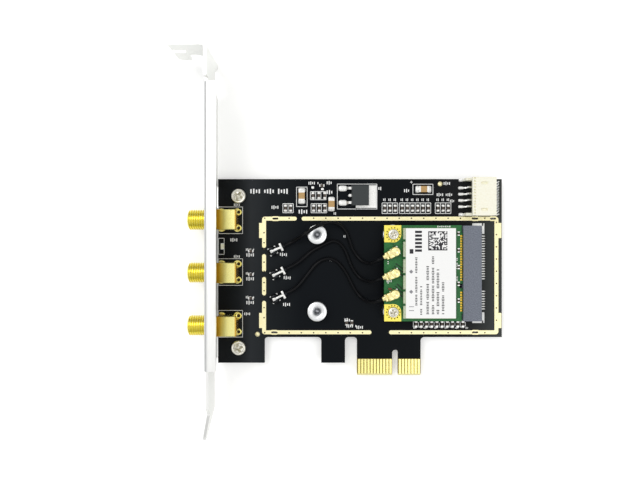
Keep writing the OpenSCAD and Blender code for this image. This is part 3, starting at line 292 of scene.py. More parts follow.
def makeFinish(name, tone, toneTo, grain, rough, level=0.5, metallic=0.0, bump=0.1,
               bumpGrain=8, stretch=(1, 1, 1), skin=0.0):
    made = bpy.data.materials.new(name)
    made.use_nodes = True
    tree = made.node_tree
    shader = tree.nodes["Principled BSDF"]
    coord = addNode(tree, "ShaderNodeTexCoord").outputs["Object"]
    paint = addNode(tree, "ShaderNodeValToRGB", {0: noiseFrom(tree, coord, grain, stretch)})
    for stop, place, colour in zip(paint.color_ramp.elements, (0.32, 0.68), (tone, toneTo)):
        stop.position, stop.color = place, linear(colour)
    spread = ranged(tree, noiseFrom(tree, coord, grain * 1.7, stretch), 0.3, 0.7, *rough)
    relief = addNode(tree, "ShaderNodeBump", {
        "Strength": bump, "Distance": 0.03 * mm, "Height": noiseFrom(tree, coord, bumpGrain, stretch)})
    feed(tree, shader, {
        "Base Color": paint.outputs[0], "Roughness": spread, "Normal": relief.outputs[0],
        "Metallic": metallic, "Specular IOR Level": level})
    if skin:
        reach = (0.6 * mm, 0.5 * mm, 0.4 * mm)
        feed(tree, shader, {"Subsurface Weight": skin, "Subsurface Radius": reach})
    return made


finish = {name: makeFinish(name, **values) for name, values in finishes.items()}


def paintOver(name, paint, mask):
    # lays a second colour over a finish's own, as far as the mask goes
    tree = finish[name].node_tree
    shader = tree.nodes["Principled BSDF"]
    under = shader.inputs["Base Color"].links[0].from_socket
    over = linear(paint) if isinstance(paint, tuple) else paint(tree)
    lay = addNode(tree, "ShaderNodeMix", {0: mask(tree), 6: under, 7: over}, data_type="RGBA")
    feed(tree, shader, {"Base Color": lay.outputs[2]})


def along(tree, axis, start, end):
    # 0 before start, 1 after end, in millimetres of the object's own X, Y or Z
    return ranged(tree, coordinates(tree)[axis], start * mm, end * mm)


def bandsAlong(tree, bands):
    # colours that change along X, from one stop to the next
    ramp = addNode(tree, "ShaderNodeValToRGB", {0: along(tree, 0, bands["start"], bands["end"])})
    stops = ramp.color_ramp.elements
    for place, tone in bands["stops"]:
        stop = stops.new((place - bands["start"]) / (bands["end"] - bands["start"]))
        stop.color = linear(tone)
    stops.remove(stops[0])
    stops.remove(stops[-1])
    return ramp.outputs[0]


# painted reflection: the dark amber band that the bracket throws on the jacks' bodies, with a painted
# darker right edge; painted sheen: the board's paler ends
jackPaintedLight = dict(
    start=-66, end=-49, pitch=0.72, barrelEnd=-58.6, groove=(230, 204, 46),
    stops=[(-65, (255, 253, 150)), (-58, (255, 250, 150)), (-57, (246, 226, 110)),
           (-55.7, (196, 142, 34)), (-55, (230, 184, 66)), (-54.3, (254, 232, 118)),
           (-53.4, (255, 246, 158)), (-50.4, (255, 247, 164)), (-50.1, (214, 170, 70))],
)
board = dict(bevel=0.6, bevelTone=(238, 230, 172), fingerEnd=5.3, bareTone=(140, 122, 52),
             tongueLeft=-12.4, sharp=0.02)
# painted sheen: colour bands along X, lightest near x -46 and towards the right end, darker in between
boardPaintedSheen = dict(
    start=-58, end=35,
    stops=[(-57, (7, 8, 9)), (-50, (24, 27, 29)), (-46, (42, 45, 48)), (-40, (24, 28, 31)),
           (-30, (7, 12, 17)), (6, (8, 12, 16)), (22, (26, 27, 28)), (30, (56, 59, 58)),
           (34, (64, 66, 64))],
)
# painted shade for the bracket's faces by the way they look
bracket = dict(outerShadeTone=(206, 208, 210), sideShadeTone=(236, 237, 234))


def facing(tree, axis, operation="ABSOLUTE"):
    # 1 on faces that look either way along the axis, or only down it when it multiplies
    return maths(tree, operation, coordinates(tree, "Normal")[axis], -1)


def onTongue(tree):
    # 1 where the connector's tongue has no mask: low enough and right of its left side
    b = board
    return maths(tree, "MULTIPLY", along(tree, 1, b["fingerEnd"], b["fingerEnd"] - b["sharp"]),
                 along(tree, 0, b["tongueLeft"] - b["sharp"], b["tongueLeft"]))


def onBevel(tree):
    return along(tree, 1, board["bevel"], board["bevel"] - board["sharp"])


def threadShade(tree):
    # (1 - cos(2 pi x / pitch)) / 2 left of the bracket: painted shade in the thread's grooves
    b = jackPaintedLight
    turns = maths(tree, "MULTIPLY", coordinates(tree)[0], 2 * math.pi / (b["pitch"] * mm))
    fade = maths(tree, "MULTIPLY_ADD", maths(tree, "COSINE", turns), -0.5, 0.5)
    return maths(tree, "MULTIPLY", fade, along(tree, 0, b["barrelEnd"], b["barrelEnd"] - 0.3))


# painted reflection and shade on the jacks' gold above z 0.8: the amber bands along X, then the
# grooves' painted shade
paintOver("jackGold", lambda tree: bandsAlong(tree, jackPaintedLight), lambda tree: along(tree, 2, 0.6, 0.8))
paintOver("jackGold", jackPaintedLight["groove"], threadShade)
# painted sheen laid over the whole board
paintOver("boardMask", lambda tree: bandsAlong(tree, boardPaintedSheen), lambda tree: along(tree, 2, -3, -2.9))
paintOver("boardMask", board["bareTone"], onTongue)
paintOver("boardMask", board["bevelTone"], onBevel)
# painted shade by facing: faces looking along X or Y a little darker, faces looking towards -X darker
# still; faces looking up keep the lighter steel
paintOver("bracketSteel", bracket["sideShadeTone"], lambda tree: facing(tree, 0))
paintOver("bracketSteel", bracket["sideShadeTone"], lambda tree: facing(tree, 1))
paintOver("bracketSteel", bracket["outerShadeTone"], lambda tree: facing(tree, 0, "MULTIPLY"))
print(len(finish), "finishes made")

# the finish of each CAD node

finishNodes = {
    "bracketSteel": "slot_bracket", "boardMask": "circuit_board", "paleGold": "shield_ground_strips",
    "screwSteel": "bracket_screws card_screws",
    "standoffSteel": "card_standoff_1 card_standoff_2 spare_standoff_1 spare_standoff_2",
    "jackGold": "antenna_jack_1 antenna_jack_2 antenna_jack_3",
    "insulatorWhite": "jack_insulator_1 jack_insulator_2 jack_insulator_3",
    "fingerGold": "edge_fingers_front edge_fingers_back jack_contact_1 jack_contact_2 jack_contact_3 "
                  "jack_pads receptacle_shells",
    "socketPlastic": "card_socket_housing", "headerPlastic": "header_housing",
    "cardMask": "radio_card_board", "padGold": "radio_card_pads", "canSteel": "radio_card_shield",
    "cardFingerGold": "radio_card_fingers", "labelPaper": "radio_card_label",
    "chipCeramic": "radio_card_chips chip_bodies", "capCeramic": "power_capacitors",
    "plugSilver": "board_plug_1 board_plug_2 board_plug_3",
    "plugGold": "card_plug_1 card_plug_2 card_plug_3",
    "regulatorPlastic": "regulator_body", "lightResin": "status_light",
    "cableJacket": "coax_cable_1 coax_cable_2 coax_cable_3",
    "tinPlate": "card_socket_contacts card_socket_hold_downs radio_card_chip_ends board_receptacles "
                "card_receptacles header_pins header_hold_downs regulator_tab regulator_leads "
                "power_capacitor_ends chip_ends status_light_ends",
}
nodeFinish = {node: kind for kind, nodes in finishNodes.items() for node in nodes.split()}
for name, kind in nodeFinish.items():
    cad[name].data.materials.clear()
    cad[name].data.materials.append(finish[kind])
print(len(nodeFinish), "CAD nodes finished")

# mesh making: every shape below is whole numpy arrays of points in millimetres, then faces


def gridFaces(rows, cols, closed=True):
    # quads of a rows x cols grid, the last column joined to the first if closed
    r, c = np.meshgrid(np.arange(rows - 1), np.arange(cols if closed else cols - 1), indexing="ij")
    n = (c + 1) % cols
    return np.stack([r * cols + c, r * cols + n, (r + 1) * cols + n, (r + 1) * cols + c],
                    -1).reshape(-1, 4).tolist()


def capped(rings):
    # a stack of rings (rows, sides, 3) as one closed skin, its two ends shut by flat faces
    rows, sides = rings.shape[:2]
    faces = gridFaces(rows, sides)
    faces.append(list(range(sides))[::-1])
    faces.append([(rows - 1) * sides + k for k in range(sides)])
    return rings.reshape(-1, 3), faces


def turned(profile, sides=24, ring=False):
    # profile of (radius, height) carried round Z: (r cos a, r sin a, h); a ring joins its last
    # row to its first, any other profile starts and ends on the axis in one pole each
    p = np.array(profile, float)
    a = np.linspace(0, 2 * np.pi, sides, endpoint=False)
    wall = p if ring else p[1:-1]
    r, h = wall[:, 0, None], wall[:, 1, None]
    points = np.stack([r * np.cos(a), r * np.sin(a), h + 0 * a], -1).reshape(-1, 3)
    faces = gridFaces(len(wall), sides)
    k = np.arange(sides)
    n = (k + 1) % sides
    last = (len(wall) - 1) * sides
    if ring:
        faces += np.stack([last + k, last + n, n, k], -1).tolist()
        return points, faces
    low, high = len(points), len(points) + 1
    faces += np.stack([np.full(sides, low), n, k], -1).tolist()
    faces += np.stack([last + k, last + n, np.full(sides, high)], -1).tolist()
    return np.vstack([points, [0, 0, p[0, 1]], [0, 0, p[-1, 1]]]), faces


def roundBox(low, high, edge, steps=3):
    # corner sphere of radius edge pushed out to the box's corners: sign(n)(half - edge) + edge n
    low, high = np.array(low, float), np.array(high, float)
    half, mid = (high - low) / 2, (high + low) / 2
    quarter = (np.arange(steps) + 0.5) / steps * np.pi / 2
    lat = np.concatenate([-quarter[::-1], quarter])[:, None]
    lon = np.concatenate([quarter + q * np.pi / 2 for q in range(4)])[None, :]
    n = np.stack([np.cos(lat) * np.cos(lon), np.cos(lat) * np.sin(lon), np.sin(lat) + 0 * lon], -1)
    return capped(mid + np.sign(n) * (half - edge) + edge * n)


def plates(rows, low, high):
    # thin four-sided plates: each row is middle x, y, length, width and a turn in degrees
    rows = np.array(rows, float)
    a = np.radians(rows[:, 4:5])
    u = rows[:, 2:3] * np.array([-0.5, 0.5, 0.5, -0.5])
    v = rows[:, 3:4] * np.array([-0.5, -0.5, 0.5, 0.5])
    x = rows[:, 0:1] + u * np.cos(a) - v * np.sin(a)
    y = rows[:, 1:2] + u * np.sin(a) + v * np.cos(a)
    z = np.repeat([[low, high]], 4, 1) + 0 * np.tile(x, 2)
    points = np.stack([np.tile(x, 2), np.tile(y, 2), z], -1)
    corners = np.array([[0, 3, 2, 1], [4, 5, 6, 7], [0, 1, 5, 4], [1, 2, 6, 5], [2, 3, 7, 6],
                        [3, 0, 4, 7]])
    faces = corners[None] + 8 * np.arange(len(rows))[:, None, None]
    return points.reshape(-1, 3), faces.reshape(-1, 4).tolist()


def mound(halfX, halfY, high, sides=16):
    # solder: a rounded-rectangle foot whose rings shrink by v as the height grows by (1 - v^2)^0.5
    a = np.linspace(0, 2 * np.pi, sides, endpoint=False)
    reach = (np.abs(np.cos(a) / halfX) ** 4 + np.abs(np.sin(a) / halfY) ** 4) ** -0.25
    v = np.array([1, 0.93, 0.78, 0.5, 0.2])[:, None]
    rings = np.stack([v * reach * np.cos(a), v * reach * np.sin(a),
                      high * np.sqrt(1 - v ** 2) + 0 * a], -1)
    return capped(rings)


def copies(shape, places):
    # the same shape again at each place: x, y, z and a turn about Z in degrees
    points, faces = shape
    made, joined = [], []
    for k, (x, y, z, turn) in enumerate(places):
        c, s = math.cos(math.radians(turn)), math.sin(math.radians(turn))
        made.append(points @ np.array([[c, s, 0], [-s, c, 0], [0, 0, 1]]) + (x, y, z))
        joined += [[i + k * len(points) for i in f] for f in faces]
    return np.vstack(made), joined


def together(*shapes):
    made, joined, count = [], [], 0
    for points, faces in shapes:
        made.append(points)
        joined += [[i + count for i in f] for f in faces]
        count += len(points)
    return np.vstack(made), joined


def underside(shape):
    # the same shape hanging below its place
    points, faces = shape
    return points * (1, 1, -1), [f[::-1] for f in faces]


def addPiece(name, shape, kind, smooth=True, replaces=()):
    points, faces = shape
    made = bpy.data.meshes.new(name)
    made.from_pydata((points * mm).tolist(), [], [tuple(f) for f in faces])
    made.validate()
    made.polygons.foreach_set("use_smooth", np.full(len(made.polygons), smooth))
    made.materials.append(finish[kind])
    piece = bpy.data.objects.new(name, made)
    bpy.context.scene.collection.objects.link(piece)
    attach(piece, "root")
    if replaces:
        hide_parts(*replaces)
    return piece


def addPlates(name, rows, low, high, kind):
    addPiece(name, plates(rows, low, high), kind, smooth=False)


def boxOf(node):
    # lowest and highest corner of a CAD node, in millimetres
    return [np.array(c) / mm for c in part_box(node)]


def outline(left, low, right, high, width):
    # four plates round a rectangle
    x, y = (left + right) / 2, (low + high) / 2
    return [(x, low, right - left + width, width, 0), (x, high, right - left + width, width, 0),
            (left, y, width, high - low, 0), (right, y, width, high - low, 0)]


# antenna jacks: body cut away over its posts, barrel with a helical thread, ringed posts

jack = dict(edge=0.32, thread=6.35, threadPitch=0.72, threadDepth=0.42, relief=0.96, reliefD=5.75,
            mouth=4.6, mouthDeep=2.0, floorD=4.1, post=1.1, postPitch=5.08, postInset=0.15,
            sides=40, rowsPerPitch=10, foot=0.03, postTop=0.12, collar=(1.02, 0.52, 0.5),
            well=(0.5, 0.26, 0.2), cut=1.15, shelf=1.1, tabReach=11.43, gap=0.1)
bracketIn = boxOf("slot_bracket")[0][0] + jack["tabReach"]
jackPosts = []


def threadedBarrel(length):
    # radius = core + depth x ridge(height / pitch - turn), faded at both ends, then the mouth
    j = jack
    rows = int((length - j["relief"]) / j["threadPitch"] * j["rowsPerPitch"])
    a = np.linspace(0, 2 * np.pi, j["sides"], endpoint=False)[None, :]
    h = np.linspace(j["relief"] + 0.05, length, rows)[:, None]
    saw = (h / j["threadPitch"] - a / (2 * np.pi)) % 1
    ridge = np.clip(2 * (1 - np.abs(2 * saw - 1)) - 0.4, 0, 1)
    core = j["thread"] / 2 - j["threadDepth"]
    start = np.clip((h - j["relief"]) / 0.5, 0, 1)
    tip = np.clip((length - h) / 0.45, 0, 1)
    r = core + j["threadDepth"] * ridge * start * tip - 0.25 * (1 - tip)
    wall = np.stack([r * np.cos(a), r * np.sin(a), h + 0 * a], -1)
    neck = [(j["reliefD"] / 2, -0.3), (j["reliefD"] / 2, j["relief"])]
    mouth = [(j["mouth"] / 2 + 0.08, length), (j["mouth"] / 2, length - 0.1),
             (j["mouth"] / 2, length - j["mouthDeep"]), (j["floorD"] / 2, length - j["mouthDeep"]),
             (j["floorD"] / 2, length - j["mouthDeep"] - 0.1)]
    flat = [np.stack([q * np.cos(a), q * np.sin(a), z + 0 * a], -1) for q, z in neck + mouth]
    points, faces = capped(np.concatenate(flat[:2] + [wall] + flat[2:]))
    return points[:, [2, 1, 0]] * (-1, 1, 1), faces


for i in (1, 2, 3):
    low, high = boxOf(f"antenna_jack_{i}")
    y, axis, half = (low[1] + high[1]) / 2, high[2] / 2, high[2] / 2
    front = bracketIn + jack["gap"]
    barrel = copies(threadedBarrel(front - low[0]), [(front, y, axis, 0)])
    # the body is cut away over its four posts, up to the shelf
    core, cut = half - jack["cut"] - 0.35, jack["cut"]
    blocks = [((front, y - core, 0.01), (high[0], y + core, high[2] - 0.1)),
              ((front + cut, y - half, 0.01), (high[0] - cut, y + half, high[2] - 0.1)),
              ((front, y - half, high[2] - jack["shelf"]), (high[0], y + half, high[2]))]
    body = together(*[roundBox(a, b, jack["edge"]) for a, b in blocks])
    postX = high[0] - jack["postInset"] - jack["postPitch"] / 2
    thick = jack["post"] / 2
    post = turned([(0, low[2]), (0.3, low[2]), (0.5, low[2] + 0.2), (thick, low[2] + 0.45),
                   (thick, jack["postTop"]), (0, jack["postTop"])], 14)
    reach = jack["postPitch"] / 2
    feet = [(postX + sx * reach, y + sy * reach, 0, 0) for sx in (-1, 1) for sy in (-1, 1)]
    jackPosts += feet + [(postX, y, 0, 0)]
    (outer, inner, tall), foot = jack["collar"], jack["foot"]
    collar = turned([(outer, foot), (outer, tall), (inner, tall), (inner, foot)], 20, ring=True)
    shape = together(body, barrel, copies(post, feet), copies(collar, feet))
    piece = addPiece(f"antennaJack{i}", shape, "jackGold", replaces=[f"antenna_jack_{i}"])
    faces = piece.data.polygons
    faces.foreach_set("use_smooth", np.arange(len(faces)) >= len(body[1]))
# painted shade: a dark disc inside each post's collar ring, for the shade in its hollow
rim, tall, floor = jack["well"]
well = turned([(0, jack["foot"]), (rim, jack["foot"]), (rim, tall), (0.2, floor), (0, floor)], 16)
addPiece("jackWells", copies(well, jackPosts), "holeShade")
print("antenna jacks made")

# screws: pan heads with a sunk cross, ridged shanks

screws = dict(sides=64, rows=18, crossLong=0.32, crossWide=0.08, crossDeep=0.85, soft=0.03,
              ridge=0.16, ridgePitch=0.5, ring=0.14, turns=(20, 62))
screwSets = [
    dict(name="bracketScrews", node="bracket_screws", headD=4.6, headHigh=1.6, shankD=2.8, seat=0),
    dict(name="cardScrews", node="card_screws", headD=3.3, headHigh=1.1, shankD=2.1, seat=4.26),
]


def screwHead(radius, high):
    # height = dome(r) - groove(r) - depth x cross(x, y), where the cross is 1 inside either arm
    a = np.linspace(0, 2 * np.pi, screws["sides"], endpoint=False)[None, :]
    r = radius * np.linspace(1, 0.02, screws["rows"])[:, None]
    x, y = r * np.cos(a), r * np.sin(a)
    dome = high * (0.62 + 0.38 * np.sqrt(np.clip(1 - (r / radius) ** 2.6, 0, 1)))
    soft, size = screws["soft"] * radius * 2, radius * 2

    def arm(u, v):
        inLong = np.clip((screws["crossLong"] * size - np.abs(u)) / soft, 0, 1)
        inWide = np.clip((screws["crossWide"] * size - np.abs(v)) / soft, 0, 1)
        return inLong * inWide

    fade = np.clip(1.25 - r / (screws["crossLong"] * size), 0.25, 1)
    sunk = np.maximum(arm(x, y), arm(y, x)) * fade
    dome = dome - screws["ring"] * high * np.exp(-((r / radius - 0.74) / 0.07) ** 2)
    top = np.stack([x, y, dome - screws["crossDeep"] * high * sunk], -1)
    foot = np.stack([x[:1], y[:1], 0 * a], -1)
    return capped(np.concatenate([foot, top]))


def screwShank(radius, low, high):
    # core with a ridge at every pitch, from the tip up
    turns = int((high - low) / screws["ridgePitch"])
    ridges = [(radius - screws["ridge"] * (k % 2 == 0), low + 0.3 + k * screws["ridgePitch"] / 2)
              for k in range(2 * turns - 1)]
    return turned([(0, low), (radius - 0.45, low)] + ridges + [(radius - 0.1, high), (0, high)], 24)


def addScrews(name, node, headD, headHigh, shankD, seat):
    low, high = boxOf(node)
    x, half = (low[0] + high[0]) / 2, (high[0] - low[0]) / 2
    one = together(screwHead(headD / 2, headHigh), screwShank(shankD / 2, low[2] - seat, 0))
    places = [(x, y, seat, turn) for y, turn in zip((low[1] + half, high[1] - half), screws["turns"])]
    addPiece(name, copies(one, places), "screwSteel", replaces=[node])


for sizes in screwSets:
    addScrews(**sizes)
print("screws made")

# standoffs: chamfered spacers with a countersunk, ridged and drilled hole

standoff = dict(outer=3.05, foot=2.0, hole=1.04, mouth=1.42, sink=0.75, edge=0.12, ridge=0.1,
                pitch=0.45, floor=1.0, point=0.55)


def standoffShape(low, high):
    # under the foot, outside up, across the top, down the countersink and the ridged blind hole
    # to the drill's point
    s = standoff
    deep = int((high - s["sink"] - s["floor"]) / s["pitch"] * 2)
    hole = [(s["hole"] + s["ridge"] * (k % 2), high - s["sink"] - k * s["pitch"] / 2)
            for k in range(deep)]
    rim = s["outer"] - s["edge"]
    outside = [(0, low), (s["foot"], low), (s["foot"], 0.01), (rim, 0.01), (s["outer"], s["edge"]),
               (s["outer"], high - s["edge"]), (rim, high), (s["mouth"], high)]
    return turned(outside + hole + [(s["hole"], s["floor"]), (0, s["floor"] - s["point"])], 40)


standAt = []
for kind in ("card", "spare"):
    for i in (1, 2):
        low, high = boxOf(f"{kind}_standoff_{i}")
        standAt.append(((low[0] + high[0]) / 2, (low[1] + high[1]) / 2, 0, 0))
        addPiece(f"{kind}Standoff{i}", copies(standoffShape(low[2], high[2]), standAt[-1:]),
                 "standoffSteel", replaces=[f"{kind}_standoff_{i}"])
top = high[2] - standoff["sink"]
bore, floorAt = standoff["hole"] - 0.02, standoff["floor"] - 0.1
# painted shade: a darker steel lining inside the spare standoffs' holes
lining = turned([(0, floorAt), (bore, floorAt), (bore, top), (bore - 0.12, top - 0.05),
                 (bore - 0.12, floorAt + 0.1), (0, floorAt + 0.05)], 32)
addPiece("standoffBores", copies(lining, standAt[2:]), "boreShadeSteel")
print("standoffs made")

# coax plugs: round head, tapered tail with its crimp, and the bright crest on top

plug = dict(head=1.5, skirt=0.42, top=2.24, tail=4.2, axis=1.35, waist=0.62, crimp=0.82,
            crimpAt=0.68, crimpLong=0.34, boardDrop=0.14, wingTop=2.2, boardWing=1.35, cardWing=1.15)
coax = dict(
    diameter=1.13,
    sides=20,
    perPoint=8,
    routes=[
        [(-35.2, 41.4, 1.35), (-33, 42.4, 1.35), (-31.2, 43.4, 2.3), (-29.4, 44.5, 3.7),
         (-27.8, 45.6, 4), (-25.9, 46.9, 4), (-23.8, 47.9, 4), (-21.6, 48.6, 3.7),
         (-19.3, 48.5, 2.7), (-17.2, 47.5, 1.7), (-15.6, 45.5, 1), (-14.6, 43, 0.7),
         (-13.7, 40.5, 0.7), (-12.3, 38.2, 0.9), (-10.6, 36.5, 1.7), (-8.8, 35.9, 3.1),
         (-7.4, 36.2, 4.6), (-6, 36.9, 5.55), (-4.4, 37.7, 5.55)],
        [(-34.6, 34, 1.35), (-32.6, 35, 1.35), (-30.4, 36.4, 1), (-28.4, 38.1, 0.7),
         (-26.4, 39.7, 0.6), (-24.3, 40.9, 0.6), (-22.1, 42, 0.6), (-19.9, 42.8, 0.6),
         (-17.9, 42.2, 0.6), (-16.4, 40.5, 0.6), (-15.3, 38.2, 0.6), (-14.3, 35.6, 0.6),
         (-13, 33.2, 0.7), (-11.3, 31.2, 1.2), (-9.4, 30.3, 2.6), (-7.7, 30.3, 4.3),
         (-6.2, 30.8, 5.55), (-4.6, 31.4, 5.55)],
        [(-34.5, 26.4, 1.35), (-32.5, 27.4, 1.35), (-30.6, 29, 1), (-28.9, 31, 0.7),
         (-27.2, 33.2, 0.6), (-25.5, 35.2, 0.6), (-23.4, 36.7, 0.6), (-21, 37.2, 0.6),
         (-18.7, 36.3, 0.6), (-16.9, 34.5, 0.6), (-15.4, 32.2, 0.6), (-14.2, 29.8, 0.6),
         (-12.9, 27.4, 0.7), (-11.3, 25.3, 1.2), (-9.5, 24.1, 2.6), (-7.8, 23.9, 4.3),
         (-6.3, 24.3, 5.55), (-4.7, 24.9, 5.55)],
    ],
)


def plugHead(top):
    p = plug
    return turned([(0, p["skirt"]), (p["head"] - 0.12, p["skirt"]), (p["head"], p["skirt"] + 0.14),
                   (p["head"], 0.95), (p["head"] - 0.1, 1.05), (p["head"] - 0.1, top - 0.28),
                   (p["head"] - 0.17, top - 0.1), (p["head"] - 0.32, top), (0.62, top),
                   (0.5, top - 0.1), (0, top - 0.1)], 32)


def plugTail():
    # a rounded square section of half width w(s) and half height h(s) along the tail, s from 0 to 1
    p = plug
    s = np.linspace(0, 1, 22)[:, None]
    a = np.linspace(0, 2 * np.pi, 24, endpoint=False)[None, :]
    grip = np.clip(1.6 - np.abs(s - p["crimpAt"]) / p["crimpLong"] * 2.2, 0, 1)
    neck = np.clip(1 - s / 0.3, 0, 1) ** 1.5
    w = p["waist"] + (1.18 - p["waist"]) * neck + (p["crimp"] - p["waist"]) * grip
    h = p["waist"] + 0.14 * neck + (p["crimp"] - p["waist"]) * grip
    c, d = np.cos(a), np.sin(a)
    y = w * np.sign(c) * np.abs(c) ** 0.6
    z = p["axis"] + h * np.sign(d) * np.abs(d) ** 0.6
    x = -0.9 - (p["tail"] - 0.9) * s + 0 * a
    # the tail runs along -X, so the section goes round the other way to face outwards
    return capped(np.stack([x, y, z], -1)[:, ::-1])


def plugWings(half):
    return roundBox((-3.45, -half, plug["axis"] - 0.2), (-2.6, half, plug["wingTop"]), 0.22)


def plugPlace(end, before):
    turn = math.atan2(end[1] - before[1], end[0] - before[0])
    return [(end[0] + plug["tail"] * math.cos(turn), end[1] + plug["tail"] * math.sin(turn),
             end[2] - plug["axis"], math.degrees(turn))]


for i, route in enumerate(coax["routes"], 1):
    low = plug["top"] - plug["boardDrop"]
    place = plugPlace(route[0], route[1])
    # painted reflection: the board plugs' head and tail are dark silver, only their crest keeps the
    # plain silver
    addPiece(f"boardPlug{i}", copies(together(plugHead(low), plugTail()), place), "plugDarkReflection",
             replaces=[f"board_plug_{i}"])
    crest = together(plugWings(plug["boardWing"]), roundBox((-2.9, -0.33, 1.8), (0.3, 0.33, 2.28), 0.1),
                     roundBox((-0.2, -0.5, 1.8), (0.75, 0.5, 2.24), 0.2))
    addPiece(f"boardPlugCrest{i}", copies(crest, place), "plugSilver")
    place = plugPlace(route[-1], route[-2])
    gold = together(plugHead(plug["top"]), plugTail(), plugWings(plug["cardWing"]),
                    roundBox((-2.5, -1.35, 1), (-0.6, 1.2, 2.18), 0.3),
                    roundBox((-4.1, -0.6, 0.7), (-2.4, 0.6, 2.05), 0.3))
    addPiece(f"cardPlug{i}", copies(gold, place), "plugGold", replaces=[f"card_plug_{i}"])
print("plugs made")

# coax cables: a round tube carried along a curve through the part's own route points


def smoothRoute(route, perPoint):
    # cubic through the points, each span bent by the slopes of its two neighbours
    p = np.array(route, float)
    p = np.vstack([2 * p[0] - p[1], p, 2 * p[-1] - p[-2]])
    t = np.linspace(0, 1, perPoint, endpoint=False)[:, None]
    spans = []
    for a, b, c, d in zip(p[:-3], p[1:-2], p[2:-1], p[3:]):
        spans.append(0.5 * (2 * b + (c - a) * t + (2 * a - 5 * b + 4 * c - d) * t ** 2
                            + (3 * b - a - 3 * c + d) * t ** 3))
    return np.vstack(spans + [p[-2:-1]])


def tubeAlong(path, radius, sides):
    # rings square to the path: centre + radius (cos a side + sin a up)
    way = np.gradient(path, axis=0)
    way /= np.linalg.norm(way, axis=1)[:, None]
    side = np.cross([0.0, 0.0, 1.0], way)
    side /= np.linalg.norm(side, axis=1)[:, None]
    up = np.cross(way, side)
    a = np.linspace(0, 2 * np.pi, sides, endpoint=False)[None, :, None]
    return capped(path[:, None] + radius * (np.cos(a) * side[:, None] + np.sin(a) * up[:, None]))


for i, route in enumerate(coax["routes"], 1):
    path = smoothRoute(route, coax["perPoint"])
    run = addPiece(f"coaxRun{i}", tubeAlong(path, coax["diameter"] / 2, coax["sides"]), "cableJacket",
                   replaces=[f"coax_cable_{i}"])

# side header: a roof that overhangs its back wall, with two shallow dents and a toothed edge

header = dict(roof=0.9, overhang=1.5, wall=0.8, ear=0.9, earLong=1.5, earHigh=3.3, edge=0.12,
              dentAt=4.1, dentHalf=(0.95, 0.36), dentDeep=0.75, tooth=0.9, toothDeep=0.5,
              toothAt=(0.45, 0.95))


def dentedRoof(low, high):
    # height over the grid = top - the dents' soft ovals - the teeth's square wave at the back edge
    h = header
    x, y = np.meshgrid(np.linspace(low[0], high[0], 44), np.linspace(low[1], high[1], 150),
                       indexing="ij")
    midX, midY = (low[0] + high[0]) / 2, (low[1] + high[1]) / 2
    z = np.full(x.shape, high[2])
    halfX, halfY = h["dentHalf"]
    for s in (-1, 1):
        far = ((x - midX) / halfX) ** 4 + ((y - midY - s * h["dentAt"]) / halfY) ** 4
        z -= h["dentDeep"] * np.clip(1.6 - far, 0, 1)
    off, (start, end) = x - low[0], h["toothAt"]
    z -= h["toothDeep"] * (off > start) * (off < end) * ((y / h["tooth"]) % 1 < 0.45)
    rows, cols = x.shape
    top = np.stack([x, y, z], -1).reshape(-1, 3)
    faces = [[p, s, r, q] for p, q, r, s in gridFaces(rows, cols, closed=False)]
    rim = np.concatenate([np.arange(rows) * cols, (rows - 1) * cols + np.arange(1, cols),
                          np.arange(rows - 2, -1, -1) * cols + cols - 1, np.arange(cols - 2, 0, -1)])
    under = top[rim] * (1, 1, 0) + (0, 0, low[2])
    k = np.arange(len(rim))
    n = (k + 1) % len(rim)
    skirt = np.stack([len(top) + k, len(top) + n, rim[n], rim[k]], -1)
    return np.vstack([top, under]), faces + skirt.tolist() + [(len(top) + k[::-1]).tolist()]


low, high = boxOf("header_housing")
left, back = low[0] + header["earLong"], low[0] + header["earLong"] + header["overhang"]
wall, ear, edge, under = header["wall"], header["ear"], header["edge"], high[2] - header["roof"]
shell = [dentedRoof((left, low[1], under), high),
         roundBox((back, low[1], 0.01), (high[0], high[1], wall), edge),
         roundBox((back, low[1] + 0.05, 0.4), (back + wall, high[1] - 0.05, under + 0.2), 0.1)]
for y in (low[1], high[1] - (wall + ear)):
    shell.append(roundBox((back, y, 0.3), (high[0], y + (wall + ear), under + 0.2), edge))
for y in (low[1], high[1] - ear):
    shell.append(roundBox((low[0], y, 0.01), (back + 0.4, y + ear, header["earHigh"]), edge))
addPiece("headerShell", together(*shell), "headerPlastic", smooth=False,
         replaces=["header_housing"])
print("header made")

# white ink on the board: outlines, marks and rows of plain strokes

ink = dict(line=0.17, fine=0.14, low=-0.01, high=0.02, cell=1.66)
stroke = dict(width=0.25, gap=0.52)


def strokes(x, y, length, size, turn=0):
    # plain upright strokes in a row, their heights from a slow wave, with a gap at each fifth
    n = int(length / (stroke["gap"] * size))
    k = np.arange(n)
    k = k[k % 5 != 4]
    shift, high = k * stroke["gap"] * size, size * (0.78 + 0.22 * np.sin(2.1 * k))
    a = math.radians(turn)
    return [(x + u * math.cos(a), y + u * math.sin(a), stroke["width"] * size, h, turn)
            for u, h in zip(shift, high)]


def chipCells(first, count, y, half):
    # an upright line at every part's edge, between two long lines
    edges = [first + (k - 0.5) * ink["cell"] for k in range(count + 1)]
    mid, wide = (edges[0] + edges[-1]) / 2, edges[-1] - edges[0]
    rows = [(x, y, ink["line"], 2 * half, 0) for x in edges]
    return rows + [(mid, y + s * half, wide, ink["line"], 0) for s in (-1, 1)]


boardTop, boardLow = boxOf("circuit_board")[1][1], boxOf("shield_ground_strips")[0][1]
topRow, highRow, lowRow = boardTop - 9.3, boardTop - 5.3, boardLow + 3.3
